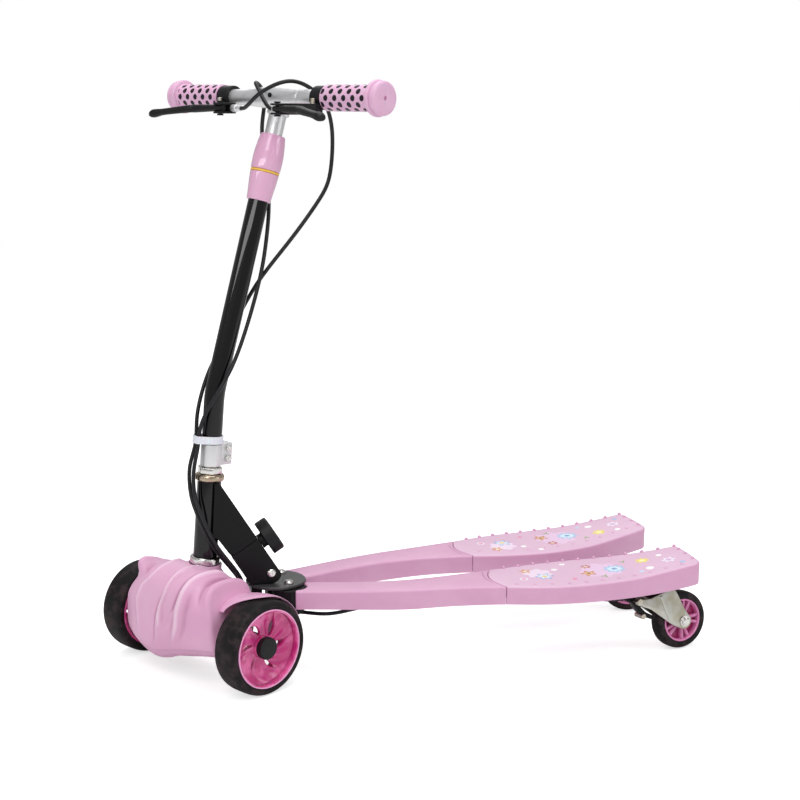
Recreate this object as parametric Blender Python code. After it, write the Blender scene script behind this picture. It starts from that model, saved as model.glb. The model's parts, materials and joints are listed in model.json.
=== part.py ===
"""Four-wheel kids scooter with two swinging decks: metres, +Z up, +X forward, +Y to the rider's left."""
import math

import bmesh
import bpy
import numpy as np
from mathutils import Matrix, Vector

for old in list(bpy.data.objects):
    bpy.data.objects.remove(old, do_unlink=True)

# Driving dimensions

# the deck pivots stand here from the origin, which is under the middle of the whole object
PIVOT_X = 0.1690
PIVOT_Y = 0.0339
GAP = 0.0003  # between pieces that touch
RUN = 0.0006  # round a piece that turns
CABLE = 0.0025

# steering
HEAD_X = 0.110
RAKE = math.radians(4.1)
STEER = math.radians(30.2)
BEND_ANGLE = math.radians(12.4)
BEND_HEIGHT = 0.3005
BEND_RADIUS = 0.110

# front wheels
FRONT_RADIUS = 0.060
FRONT_WIDTH = 0.0384
FRONT_TRACK = 0.2645  # over the outer faces
FRONT_RIM = 0.0498
FRONT_CAP = 0.0140

# rear wheels and casters
REAR_RADIUS = 0.039
REAR_WIDTH = 0.0218
REAR_RIM = 0.0292
REAR_HUB = 0.0215
CASTER_BACK = 0.482
CASTER_OUT = 0.044
CASTER_HEIGHT = 0.0950
CASTER_TRAIL = 0.0270
CASTER_TILT = math.radians(15.0)
CASTER_TURN = math.radians(14.3)
FORK_WALL = 0.0024

# head tube, steerer and stem
HEAD_LOW = 0.0920
HEAD_HIGH = 0.1900
HEAD_TUBE = 0.01525
STEERER = 0.0100
STEM_TUBE = 0.0127
STEM_WALL = 0.0012
STEM_FOOT = 0.2375
STEM_TOP = 0.2830
POST = 0.0111
POST_LOW = 0.0900
BAR_HEIGHT = 0.3757
BAR_FORWARD = 0.0109

# handlebar
BAR_TUBE = 0.0100
BAR_HALF = 0.1910
GRIP_RADIUS = 0.0155
GRIP_INNER = 0.0820
GRIP_FLANGE = 0.0217
GRIP_END = 0.0190

# deck pivots and base
BOLT_SPREAD = 0.0228
BARREL = 0.0220
BASE_LOW = 0.0760
BASE_TOP = 0.1130
BASE_PLATE = 0.0040
DISC_RADIUS = 0.0390
DISC_X = 0.0120

# fold strut, whose hinge bolt is at its lower rear corner
FOLD_X = 0.0219
FOLD_Z = 0.1272
STRUT_LEAN = math.radians(32.45)
STRUT_BACK = 0.0104
STRUT_FRONT = 0.0297
STRUT_SPLIT = 0.0482
STRUT_HALF = 0.0200
STRUT_WALL = 0.0030
KNOB_ALONG = 0.0367
KNOB_RADIUS = 0.0232
KNOB_THICK = 0.0160
KNOB_NECK = 0.0070

# decks, in the pivot's own line: distance back, inner edge, outer edge, top and bottom
SPLAY = math.radians(2.3)
DECK_SPLIT = 0.2683
DECK_END = 0.5350
DECK_WALL = 0.0030
DECK_STATIONS = (
    (0.0000, -0.0190, 0.0230, 0.1085, 0.0850),
    (0.0250, -0.0145, 0.0290, 0.1088, 0.0852),
    (0.0800, 0.0005, 0.0440, 0.1100, 0.0858),
    (0.1400, 0.0110, 0.0570, 0.1113, 0.0860),
    (0.2000, 0.0095, 0.0650, 0.1125, 0.0862),
    (0.2600, 0.0005, 0.0745, 0.1130, 0.0865),
    (0.3200, -0.0120, 0.0885, 0.1128, 0.0872),
    (0.3800, -0.0180, 0.0925, 0.1136, 0.0888),
    (0.4400, -0.0140, 0.0905, 0.1168, 0.0918),
    (0.4900, -0.0055, 0.0870, 0.1236, 0.0958),
    (0.5350, 0.0020, 0.0840, 0.1312, 0.1020),
)


# Finishes

def finish(name, colour, roughness, metallic=0.0):
    """One Principled material in a linear colour."""
    made = bpy.data.materials.new(name)
    made.use_nodes = True
    shader = made.node_tree.nodes["Principled BSDF"]
    shader.inputs["Base Color"].default_value = (*colour, 1.0)
    shader.inputs["Roughness"].default_value = roughness
    shader.inputs["Metallic"].default_value = metallic
    made.diffuse_color = (*colour, 1.0)
    return made


PINK = finish("pink_plastic", (0.72, 0.40, 0.60), 0.45)
DEEP_PINK = finish("hub_pink", (0.75, 0.06, 0.30), 0.25)
RUBBER = finish("tyre_rubber", (0.02, 0.02, 0.02), 0.7)
BLACK_STEEL = finish("black_steel", (0.015, 0.015, 0.016), 0.35, 0.3)
BLACK_PLASTIC = finish("black_plastic", (0.02, 0.02, 0.02), 0.5)
ZINC = finish("zinc_steel", (0.62, 0.61, 0.58), 0.3, 1.0)
SILVER = finish("silver_alloy", (0.78, 0.78, 0.79), 0.3, 0.9)
CHROME = finish("chrome", (0.8, 0.8, 0.8), 0.12, 1.0)
GREY = finish("grey_steel", (0.10, 0.10, 0.10), 0.45, 0.5)
YELLOW = finish("yellow_ring", (0.85, 0.55, 0.10), 0.4)
WHITE_PLASTIC = finish("white_plastic", (0.75, 0.77, 0.82), 0.4)


# Frames that the pieces hang on

def frame(name, world, parent=None):
    """An empty with the given world matrix, hung on its parent."""
    empty = bpy.data.objects.new(name, None)
    bpy.context.collection.objects.link(empty)
    empty["world"] = [value for row in world for value in row]
    if parent:
        empty.parent = parent
        empty.matrix_basis = world_of(parent).inverted() @ world
    else:
        empty.matrix_basis = world
    return empty


def world_of(empty):
    """The world matrix that the frame was made with."""
    values = list(empty["world"])
    return Matrix([values[row * 4:row * 4 + 4] for row in range(4)])


def shift(x, y, z):
    return Matrix.Translation((x, y, z))


def turn(angle, axis):
    return Matrix.Rotation(angle, 4, axis)


PIVOT_WORLD = shift(PIVOT_X, PIVOT_Y, 0.0)
HEAD_WORLD = PIVOT_WORLD @ shift(HEAD_X, 0.0, FRONT_RADIUS) @ turn(-RAKE, "Y")
STEER_WORLD = HEAD_WORLD @ turn(STEER, "Z")
AXLE_WORLD = PIVOT_WORLD @ shift(HEAD_X, 0.0, FRONT_RADIUS) @ turn(STEER, "Z")
UPPER_WORLD = STEER_WORLD @ shift(0.0, 0.0, BEND_HEIGHT) @ turn(-BEND_ANGLE, "Y")
BAR_MIDDLE = UPPER_WORLD @ Vector((BAR_FORWARD, 0.0, BAR_HEIGHT))
BAR_WORLD = shift(*BAR_MIDDLE) @ turn(STEER, "Z")
# the strut's own frame: +Z along it, -X out of its back
STRUT_WORLD = PIVOT_WORLD @ shift(FOLD_X, 0.0, FOLD_Z) @ turn(STRUT_LEAN, "Y")

base = frame("base", PIVOT_WORLD)
fold_axis = frame("fold_axis", STRUT_WORLD, base)
head_axis = frame("head_axis", HEAD_WORLD, fold_axis)
steering_axis = frame("steering_axis", STEER_WORLD, head_axis)
axle_line = frame("axle_line", AXLE_WORLD, steering_axis)
upper_stem = frame("upper_stem", UPPER_WORLD, steering_axis)
bar_line = frame("bar_line", BAR_WORLD, upper_stem)


# Mesh makers

THIN_WALLED = ("lever_bracket", "axle_beam", "fairing")


def piece(name, verts, faces, look, parent, place=None, sharp=35):
    """An object from points and faces in its parent frame, with its faces turned outwards."""
    mesh = bpy.data.meshes.new(name)
    mesh.from_pydata([tuple(map(float, v)) for v in verts], [], [tuple(f) for f in faces])
    work = bmesh.new()
    work.from_mesh(mesh)
    if work.calc_volume(signed=True) < 0:
        bmesh.ops.reverse_faces(work, faces=work.faces)
    work.to_mesh(mesh)
    work.free()
    mesh.materials.append(look)
    mesh.shade_smooth()
    mesh.set_sharp_from_angle(angle=math.radians(sharp))
    made = bpy.data.objects.new(name, mesh)
    bpy.context.collection.objects.link(made)
    made.parent = parent
    made.matrix_basis = place if place else Matrix.Identity(4)
    return made


def turned(profile, sides=16):
    """A closed profile of (radius, height) points turned about +Z."""
    angles = np.arange(sides) * 2 * math.pi / sides
    verts, rings = [], []
    for radius, height in profile:
        if radius == 0:
            rings.append([len(verts)] * sides)
            verts.append((0.0, 0.0, height))
        else:
            rings.append(list(range(len(verts), len(verts) + sides)))
            verts += [(radius * math.cos(a), radius * math.sin(a), height) for a in angles]
    faces = []
    for here, there in zip(rings, rings[1:] + rings[:1]):
        for i in range(sides):
            j = (i + 1) % sides
            corners = dict.fromkeys((here[i], here[j], there[j], there[i]))
            if len(corners) > 2:
                faces.append(list(corners))
    return verts, faces


def rod(radius, low, high, sides=16):
    """A plain round bar about +Z from low to high."""
    return turned([(0, low), (radius, low), (radius, high), (0, high)], sides)


def loft(rings):
    """Rings of equally many points joined in turn, with both ends closed."""
    count = len(rings[0])
    verts = [p for ring in rings for p in ring]
    faces = []
    for k in range(len(rings) - 1):
        for i in range(count):
            j = (i + 1) % count
            faces.append((k * count + i, k * count + j, (k + 1) * count + j, (k + 1) * count + i))
    faces.append(tuple(range(count))[::-1])
    faces.append(tuple(range(len(verts) - count, len(verts))))
    return verts, faces


def slab(outline, low, high, plane="XY"):
    """An outline in one plane made thick across it, from low to high."""
    order = {"XY": (0, 1, 2), "XZ": (0, 2, 1), "YZ": (1, 2, 0)}[plane]
    rings = []
    for level in (low, high):
        ring = []
        for u, v in outline:
            point = [0.0, 0.0, 0.0]
            point[order[0]], point[order[1]], point[order[2]] = u, v, level
            ring.append(tuple(point))
        rings.append(ring)
    return loft(rings)


def arc(centre, radius, start, end, steps):
    """Points of a round stretch of an outline, angles in degrees."""
    angles = np.radians(np.linspace(start, end, steps + 1))
    return [(centre[0] + radius * math.cos(a), centre[1] + radius * math.sin(a)) for a in angles]


def tube(points, radius, sides=20, bore=0.0):
    """A round bar, or with a bore a tube, along points, with its ends cut square."""
    path = [Vector(p) for p in points]
    tangents = []
    for i in range(len(path)):
        tangents.append((path[min(i + 1, len(path) - 1)] - path[max(i - 1, 0)]).normalized())
    across = tangents[0].orthogonal().normalized()
    outer, inner = [], []
    for point, along in zip(path, tangents):
        across = (across - across.dot(along) * along).normalized()
        side = along.cross(across)
        ways = [across * math.cos(a) + side * math.sin(a)
                for a in np.arange(sides) * 2 * math.pi / sides]
        outer.append([point + way * radius for way in ways])
        inner.append([point + way * bore for way in ways])
    if not bore:
        return loft(outer)
    rings = outer + inner[::-1]
    verts, faces = loft(rings)
    faces = faces[:-2]
    last = (len(rings) - 1) * sides
    faces += [(last + i, last + (i + 1) % sides, (i + 1) % sides, i) for i in range(sides)]
    return verts, faces


def box(low, high):
    (left, near, foot), (right, far, top) = low, high
    return slab([(left, near), (right, near), (right, far), (left, far)], foot, top)


def moved(shape, matrix):
    """A shape's points through a matrix."""
    verts, faces = shape
    return [tuple(matrix @ Vector(v)) for v in verts], faces


def join(target, shape, how, place=None):
    """Cut a shape out of the target, or weld it on, by a Boolean whose tool is a hidden object."""
    tool = piece(target.name + "_" + how.lower(), *shape, PINK, target.parent, place or target.matrix_basis)
    tool.hide_render = True
    tool.display_type = "WIRE"
    step = target.modifiers.new(how, "BOOLEAN")
    step.operation = how
    # the exact solver leaves slits in these thin walls
    step.solver = "MANIFOLD" if target.name.startswith(THIN_WALLED) else "EXACT"
    step.object = tool
    return target


def cut(target, shape, place=None):
    return join(target, shape, "DIFFERENCE", place)


def weld(target, shape, place=None):
    return join(target, shape, "UNION", place)


ALONG_Y = turn(-math.pi / 2, "X")  # takes +Z to +Y


# Base: a round plate over and a plate under the two deck pivots, joined by a post

base_floor = BASE_LOW + BASE_PLATE
disc_low = BASE_TOP - BASE_PLATE
barrel_low = base_floor + GAP
barrel_high = disc_low - GAP
PIVOT_PIN = 0.0050
POST_X = (0.0330, 0.0470)
POST_HALF = 0.0150
FRAME_RADIUS = 0.0460

base_frame = piece("base_frame", *slab(
    arc((POST_X[0] - 0.004, 0.0), POST_X[1] - POST_X[0] + 0.006, -90, 90, 8)
    + arc((0.0, BOLT_SPREAD), BARREL - 0.002, 90, 180, 6)
    + arc((0.0, -BOLT_SPREAD), BARREL - 0.002, 180, 270, 6),
    BASE_LOW, base_floor), BLACK_STEEL, base)
weld(base_frame, box((POST_X[0], -POST_HALF, base_floor - 0.001), (POST_X[1], POST_HALF, disc_low - GAP)))
pivot_plate = piece("pivot_plate", *turned(
    [(0, disc_low), (DISC_RADIUS - 0.0008, disc_low), (DISC_RADIUS, disc_low + 0.0008),
     (DISC_RADIUS, BASE_TOP - 0.0008), (DISC_RADIUS - 0.0008, BASE_TOP), (0, BASE_TOP)], 22),
    GREY, base, shift(DISC_X, 0.0, 0.0))
for side in (1, -1):
    hole = moved(rod(PIVOT_PIN + GAP, -0.02, 0.2), shift(0.0, side * BOLT_SPREAD, 0.0))
    cut(base_frame, hole)
    cut(pivot_plate, moved(hole, shift(-DISC_X, 0.0, 0.0)))
    piece("pivot_bolt_" + ("left" if side > 0 else "right"), *turned(
        [(0, BASE_LOW - 0.0070), (0.0080, BASE_LOW - 0.0070), (0.0080, BASE_LOW - GAP),
         (PIVOT_PIN, BASE_LOW - GAP), (PIVOT_PIN, BASE_TOP + GAP), (0.0062, BASE_TOP + GAP),
         (0.0060, BASE_TOP + 0.0024), (0.0042, BASE_TOP + 0.0040), (0, BASE_TOP + 0.0040)]),
        CHROME, base, shift(0.0, side * BOLT_SPREAD, 0.0))

# Fold tongue: an upright lug on the round plate, inside the strut, that the hinge bolt goes through

FOLD_PIN = 0.0040
TONGUE_HALF = STRUT_HALF - STRUT_WALL - 0.0005
TONGUE_BOSS = 0.0068
TONGUE_TOP = 0.0425
to_strut = STRUT_WORLD.inverted() @ PIVOT_WORLD


def in_strut(x, z):
    """A point of the base's side view, in the strut's frame."""
    point = to_strut @ Vector((x, 0.0, z))
    return point.x, point.z


tongue_outline = (
    [in_strut(FOLD_X + 0.0190, BASE_TOP - 0.001), in_strut(FOLD_X - 0.0045, BASE_TOP - 0.001)]
    + arc((0.0, 0.0), TONGUE_BOSS, 200, 170, 2)
    + [(-STRUT_BACK + STRUT_WALL + 0.0005, 0.012), (-STRUT_BACK + STRUT_WALL + 0.0005, TONGUE_TOP - 0.006)]
    + arc((-0.001, TONGUE_TOP - 0.0055), 0.0055, 170, 90, 2)
    + arc((0.002, TONGUE_TOP - 0.008), 0.008, 80, 0, 3)
)
from_plate = pivot_plate.matrix_basis.inverted() @ PIVOT_WORLD.inverted() @ STRUT_WORLD
weld(pivot_plate, moved(slab(tongue_outline, -TONGUE_HALF, TONGUE_HALF, "XZ"), from_plate))
pin_hole = moved(rod(FOLD_PIN + GAP, -0.03, 0.03), ALONG_Y)
cut(pivot_plate, moved(pin_hole, from_plate))

# Strut: two folded channels, end to end, from the head tube down to the hinge bolt

def strut_piece(name, outline):
    """A length of the strut as a solid bar, before its inside is cut out."""
    return piece(name, *slab(outline, -STRUT_HALF, STRUT_HALF, "XZ"), BLACK_STEEL, fold_axis)


strut_inside = STRUT_HALF - STRUT_WALL
foot_radius = FOLD_Z - BASE_TOP - RUN
foot_front = in_strut(FOLD_X + 0.0270, BASE_TOP + RUN)
foot_start = math.degrees(STRUT_LEAN) - 90
foot_end = math.degrees(math.acos(STRUT_BACK / foot_radius)) - 180
lower_outline = (
    [(STRUT_FRONT, STRUT_SPLIT - GAP), (STRUT_FRONT, foot_front[1] + 0.006), foot_front]
    + arc((0.0, 0.0), foot_radius, foot_start, foot_end, 5)
    + [(-STRUT_BACK, STRUT_SPLIT - GAP)]
)
lower_bracket = strut_piece("lower_bracket", lower_outline)
cut(lower_bracket, box((-STRUT_BACK + STRUT_WALL, -strut_inside, -0.03), (0.05, strut_inside, 0.1)))
cut(lower_bracket, box((-0.03, -strut_inside, -0.03), (0.0, strut_inside, 0.0030)))
cut(lower_bracket, pin_hole)
piece("fold_bolt", *turned(
    [(0, -STRUT_HALF - 0.0060), (0.0055, -STRUT_HALF - 0.0060), (0.0060, -STRUT_HALF - 0.0050),
     (0.0060, -STRUT_HALF - GAP), (FOLD_PIN, -STRUT_HALF - GAP), (FOLD_PIN, STRUT_HALF + GAP),
     (0.0058, STRUT_HALF + GAP), (0.0055, STRUT_HALF + 0.0020), (0.0035, STRUT_HALF + 0.0036),
     (0, STRUT_HALF + 0.0036)]), CHROME, fold_axis, ALONG_Y)

# Head tube with its two cups, and the upper bracket that saddles it

head_line = STRUT_WORLD.inverted() @ HEAD_WORLD
HEAD_WALL = 0.0022
head_tube = piece("head_tube", *turned(
    [(HEAD_TUBE, HEAD_LOW), (HEAD_TUBE, HEAD_HIGH), (HEAD_TUBE - HEAD_WALL, HEAD_HIGH),
     (HEAD_TUBE - HEAD_WALL, HEAD_LOW)]), BLACK_STEEL, head_axis)
CUP_SKIRT = 0.0080
CUP_LOW = 0.0150
CUP_HIGH = 0.0090
cup_foot = HEAD_LOW - CUP_LOW
cup_bore = STEERER + RUN
skirt = HEAD_TUBE - HEAD_WALL - 0.0004
piece("headset_cup_lower", *turned(
    [(cup_bore, cup_foot), (0.0150, cup_foot), (0.0180, cup_foot + 0.0030), (0.0180, cup_foot + 0.0050),
     (0.0192, cup_foot + 0.0060), (0.0192, HEAD_LOW - 0.0020), (0.0175, HEAD_LOW - GAP),
     (skirt, HEAD_LOW - GAP), (skirt, HEAD_LOW + CUP_SKIRT), (cup_bore, HEAD_LOW + CUP_SKIRT)]),
    CHROME, head_axis)
piece("headset_cup_upper", *turned(
    [(cup_bore, HEAD_HIGH - CUP_SKIRT), (skirt, HEAD_HIGH - CUP_SKIRT), (skirt, HEAD_HIGH + GAP),
     (0.0172, HEAD_HIGH + GAP), (0.0186, HEAD_HIGH + 0.0020), (0.0186, HEAD_HIGH + 0.0065),
     (0.0165, HEAD_HIGH + CUP_HIGH), (cup_bore, HEAD_HIGH + CUP_HIGH)]), CHROME, head_axis)

SADDLE_HIGH = 0.1888
SADDLE_LOW = 0.1188
STEP = 0.0035


def by_head(height, ahead):
    """A point at a height on the head tube's line, so far ahead of it, in the strut's frame."""
    point = head_line @ Vector((ahead, 0.0, height))
    return point.x, point.z


upper_outline = [
    (-STRUT_BACK, STRUT_SPLIT + GAP),
    (-STRUT_BACK, by_head(SADDLE_HIGH, -0.0103)[1]),
    by_head(SADDLE_HIGH, -0.0035),
    by_head(SADDLE_LOW, -0.0047),
    by_head(SADDLE_LOW, -0.0106),
    (STRUT_FRONT, STRUT_SPLIT + 0.0057),
    (STRUT_FRONT - 0.0029, STRUT_SPLIT + 0.0030),
    (STRUT_FRONT - STEP, STRUT_SPLIT + GAP),
]
upper_bracket = strut_piece("upper_bracket", upper_outline)
cut(upper_bracket, box((-STRUT_BACK + STRUT_WALL, -strut_inside, 0.0), (0.06, strut_inside, 0.0850)))
cut(upper_bracket, moved(rod(HEAD_TUBE + GAP, 0.0, 0.4, 28), head_line))

# Lock knob: a spring plunger pulled out square to the strut's back

OUT_OF_BACK = turn(-math.pi / 2, "Y")  # takes +Z to -X
PLUNGER = 0.0045
KNOB_BOSS = 0.0095
knob_axis = frame("knob_axis", STRUT_WORLD @ shift(-STRUT_BACK, 0.0, KNOB_ALONG) @ OUT_OF_BACK, fold_axis)
knob_place = shift(-STRUT_BACK, 0.0, KNOB_ALONG) @ OUT_OF_BACK
cut(lower_bracket, moved(rod(PLUNGER + GAP, -0.05, 0.05), knob_place))
cut(pivot_plate, moved(rod(PLUNGER + RUN, -0.0125, 0.05), from_plate @ knob_place))
piece("lock_knob", *turned(
    [(0, -0.0090), (PLUNGER - 0.001, -0.0090), (PLUNGER, -0.0080), (PLUNGER, GAP), (KNOB_BOSS, GAP),
     (KNOB_BOSS, KNOB_NECK), (KNOB_RADIUS - 0.0012, KNOB_NECK), (KNOB_RADIUS, KNOB_NECK + 0.0012),
     (KNOB_RADIUS, KNOB_NECK + KNOB_THICK - 0.0025), (KNOB_RADIUS - 0.0025, KNOB_NECK + KNOB_THICK),
     (0, KNOB_NECK + KNOB_THICK)]), BLACK_PLASTIC, knob_axis)

# Steerer, lock nut, stem clamp and the bent outer stem

BEAM_HALF = 0.0100
STEERER_WALL = 0.0020
steerer_top = STEM_FOOT + 0.0250
piece("steerer_tube", *turned(
    [(STEERER, BEAM_HALF + GAP), (STEERER, steerer_top), (STEERER - STEERER_WALL, steerer_top),
     (STEERER - STEERER_WALL, BEAM_HALF + GAP)]), ZINC, steering_axis)
NUT_LOW = HEAD_HIGH + CUP_HIGH + RUN
NUT_HIGH = NUT_LOW + 0.0082
lock_nut = piece("lock_nut", *slab(arc((0, 0), 0.0156, 0, 300, 5), NUT_LOW, NUT_HIGH), CHROME, steering_axis)
steerer_bore = rod(STEERER + GAP, 0, 0.3)
cut(lock_nut, steerer_bore)
CLAMP_LOW = NUT_HIGH + 0.0015
CLAMP_HIGH = STEM_FOOT - GAP
CLAMP_RADIUS = 0.0132
EAR_BACK = -0.0280
EAR_HALF = 0.0075
SLIT_HALF = 0.0010
ear_meets = math.degrees(math.asin(EAR_HALF / CLAMP_RADIUS))
slit_meets = math.degrees(math.asin(SLIT_HALF / (STEERER + GAP)))
stem_clamp = piece("stem_clamp", *slab(
    arc((0, 0), CLAMP_RADIUS, ear_meets - 180, 180 - ear_meets, 14)
    + [(EAR_BACK, EAR_HALF), (EAR_BACK, SLIT_HALF)]
    + arc((0, 0), STEERER + GAP, 180 - slit_meets, slit_meets - 180, 18)
    + [(EAR_BACK, -SLIT_HALF), (EAR_BACK, -EAR_HALF)], CLAMP_LOW, CLAMP_HIGH), SILVER, steering_axis)
CLAMP_BOLT = 0.0025
for name, height in (("upper", CLAMP_HIGH - 0.0065), ("lower", CLAMP_LOW + 0.0085)):
    place = shift(-0.0206, 0.0, height) @ ALONG_Y
    cut(stem_clamp, moved(rod(CLAMP_BOLT + GAP, -0.02, 0.02, 12), place))
    piece("clamp_bolt_" + name, *turned(
        [(0, -EAR_HALF - 0.0040), (0.0042, -EAR_HALF - 0.0040), (0.0042, -EAR_HALF - GAP),
         (CLAMP_BOLT, -EAR_HALF - GAP), (CLAMP_BOLT, EAR_HALF + GAP), (0.0044, EAR_HALF + GAP),
         (0.0044, EAR_HALF + 0.0045), (0, EAR_HALF + 0.0045)], 12), ZINC, steering_axis, place)

bend_run = BEND_RADIUS * math.tan(BEND_ANGLE / 2)
stem_path = [(0.0, 0.0, STEM_FOOT), (0.0, 0.0, 0.27)]
for share in np.linspace(0, 1, 4):
    swept = share * BEND_ANGLE
    stem_path.append((-BEND_RADIUS * (1 - math.cos(swept)), 0.0,
                      BEND_HEIGHT - bend_run + BEND_RADIUS * math.sin(swept)))
bend_tip = Vector((-math.sin(BEND_ANGLE), 0.0, math.cos(BEND_ANGLE)))
for along in (0.14, STEM_TOP):
    stem_path.append(Vector((0.0, 0.0, BEND_HEIGHT)) + along * bend_tip)
stem_path.pop(1)
piece("stem_tube", *tube(stem_path, STEM_TUBE, 16, STEM_TUBE - STEM_WALL), BLACK_STEEL, steering_axis)

# Height collar and the sliding post

COLLAR_LOW = 0.2467
RING_LOW = 0.2822
RING_HIGH = 0.2850
COLLAR_TOP = 0.3305
tube_bore = STEM_TUBE + GAP
piece("collar_lower", *turned(
    [(tube_bore, COLLAR_LOW), (0.0146, COLLAR_LOW), (0.0151, COLLAR_LOW + 0.0010),
     (0.0158, COLLAR_LOW + 0.0100), (0.0172, COLLAR_LOW + 0.0230), (0.0181, RING_LOW - 0.0008),
     (0.0177, RING_LOW - GAP),
     (tube_bore, RING_LOW - GAP)]), PINK, upper_stem)
piece("collar_ring", *turned(
    [(tube_bore, RING_LOW), (0.0179, RING_LOW), (0.0183, RING_LOW + 0.0008), (0.0183, RING_HIGH - 0.0008),
     (0.0179, RING_HIGH), (tube_bore, RING_HIGH)]), YELLOW, upper_stem)
piece("collar_upper", *turned(
    [(POST + RUN, RING_HIGH + GAP), (0.0180, RING_HIGH + GAP), (0.0185, RING_HIGH + 0.0012),
     (0.0190, RING_HIGH + 0.0140), (0.0186, RING_HIGH + 0.0230), (0.0172, RING_HIGH + 0.0350),
     (0.0158, COLLAR_TOP - 0.0015), (0.0150, COLLAR_TOP), (POST + RUN, COLLAR_TOP)]), PINK, upper_stem)
SOCKET_BELOW = 0.0197  # from the bar down to the socket's mouth
SOCKET_LOW = BAR_HEIGHT - SOCKET_BELOW
SOCKET_DEEP = 0.0080
piece("inner_stem", *turned(
    [(POST, POST_LOW), (POST, SOCKET_LOW + SOCKET_DEEP), (POST - 0.0015, SOCKET_LOW + SOCKET_DEEP),
     (POST - 0.0015, POST_LOW)]), SILVER, upper_stem)

# Handlebar: a cast T, two grips, and at each side a clamped lever bracket, an adjuster and a lever

SOCKET = 0.0140
TO_LEVEL = UPPER_WORLD.inverted() @ BAR_WORLD
bar_inset = 0.0040
bar = rod(BAR_TUBE, -BAR_HALF + bar_inset, BAR_HALF - bar_inset)
t_bar = piece("t_bar", *moved(bar, TO_LEVEL @ ALONG_Y), SILVER, upper_stem)
weld(t_bar, turned([(0, SOCKET_LOW), (SOCKET - 0.0008, SOCKET_LOW), (SOCKET, SOCKET_LOW + 0.0008),
                    (SOCKET, BAR_HEIGHT + 0.0040), (0.0090, BAR_HEIGHT + 0.0075), (0, BAR_HEIGHT + 0.0075)]))
cut(t_bar, rod(POST + GAP, SOCKET_LOW - 0.01, SOCKET_LOW + SOCKET_DEEP + GAP))
CLAMP_INNER = 0.0605
CLAMP_OUTER = 0.0815
CLAMP_RING = 0.0145
LEVER_F = 0.0440
LEVER_L = 0.0530
LEVER_Z = -0.0135
LEVER_PIN = 0.0025
LEVER_PATH = (  # forward, sideways, up, width, height
    (0.0440, 0.0480, -0.0135, 0.0090, 0.0070),
    (0.0436, 0.0550, -0.0135, 0.0120, 0.0072),
    (0.0440, 0.0640, -0.0135, 0.0110, 0.0072),
    (0.0475, 0.0950, -0.0145, 0.0100, 0.0090),
    (0.0530, 0.1020, -0.0150, 0.0090, 0.0080),
    (0.0650, 0.1380, -0.0190, 0.0110, 0.0060),
    (0.0690, 0.1540, -0.0215, 0.0110, 0.0060),
    (0.0698, 0.1590, -0.0222, 0.0060, 0.0045),
)


def oval_sweep(path, sides=8):
    """A bar through points (x, y, z, width, height), its rings square to its line seen from above."""
    rings = []
    for i, (x, y, z, width, height) in enumerate(path):
        before, after = path[max(i - 1, 0)], path[min(i + 1, len(path) - 1)]
        along = Vector((after[0] - before[0], after[1] - before[1], 0.0)).normalized()
        across = Vector((along.y, -along.x, 0.0))
        ring = []
        for a in np.arange(sides) * 2 * math.pi / sides:
            wide = math.copysign(abs(math.cos(a)) ** 0.7, math.cos(a)) * width / 2
            tall = math.copysign(abs(math.sin(a)) ** 0.7, math.sin(a)) * height / 2
            ring.append(Vector((x, y, z + tall)) + across * wide)
        rings.append(ring)
    return loft(rings)


def headed_pin(radius, head, half, head_tall, sides):
    """A pin about +Z with a round head at each end, just clear of what lies within half on both sides."""
    upper = [(radius, half + GAP), (head, half + GAP), (head, half + head_tall), (0, half + head_tall)]
    return turned([(r, -z) for r, z in upper[::-1]] + upper, sides)


def mirrored(shape, side):
    """The shape itself for side 1, or its mirror image across the mid-plane for side -1."""
    verts, faces = shape
    return [(v[0], side * v[1], v[2]) for v in verts], faces


GRIP_BORE = BAR_TUBE + GAP
grip_profile = [
    (GRIP_BORE, GRIP_INNER), (0.0165, GRIP_INNER), (0.0165, GRIP_INNER + 0.0040),
    (GRIP_RADIUS, GRIP_INNER + 0.0050), (GRIP_RADIUS, BAR_HALF - 0.0155), (GRIP_FLANGE, BAR_HALF - 0.0130),
    (GRIP_FLANGE, BAR_HALF - 0.0085), (GRIP_FLANGE - 0.001, BAR_HALF - 0.0070),
    (GRIP_END, BAR_HALF - 0.0060), (GRIP_END, BAR_HALF - 0.0015), (GRIP_END - 0.0015, BAR_HALF),
    (0, BAR_HALF), (0, BAR_HALF - bar_inset + GAP), (GRIP_BORE, BAR_HALF - bar_inset + GAP),
]
bracket_outline = [(0.0080, 0.0620), (0.0080, 0.0800), (0.0200, 0.0800), (0.0348, 0.0650), (0.0500, 0.0600),
                   (0.0500, 0.0460), (0.0240, 0.0460), (0.0180, 0.0600)]
SLOT_BACK = 0.0342
SLOT_LOW = LEVER_Z - 0.0042
SLOT_HIGH = LEVER_Z + 0.0042
BRACKET_LOW = SLOT_LOW - 0.0025
BRACKET_HIGH = SLOT_HIGH + 0.0025
ADJUSTER_F = 0.0300
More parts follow.
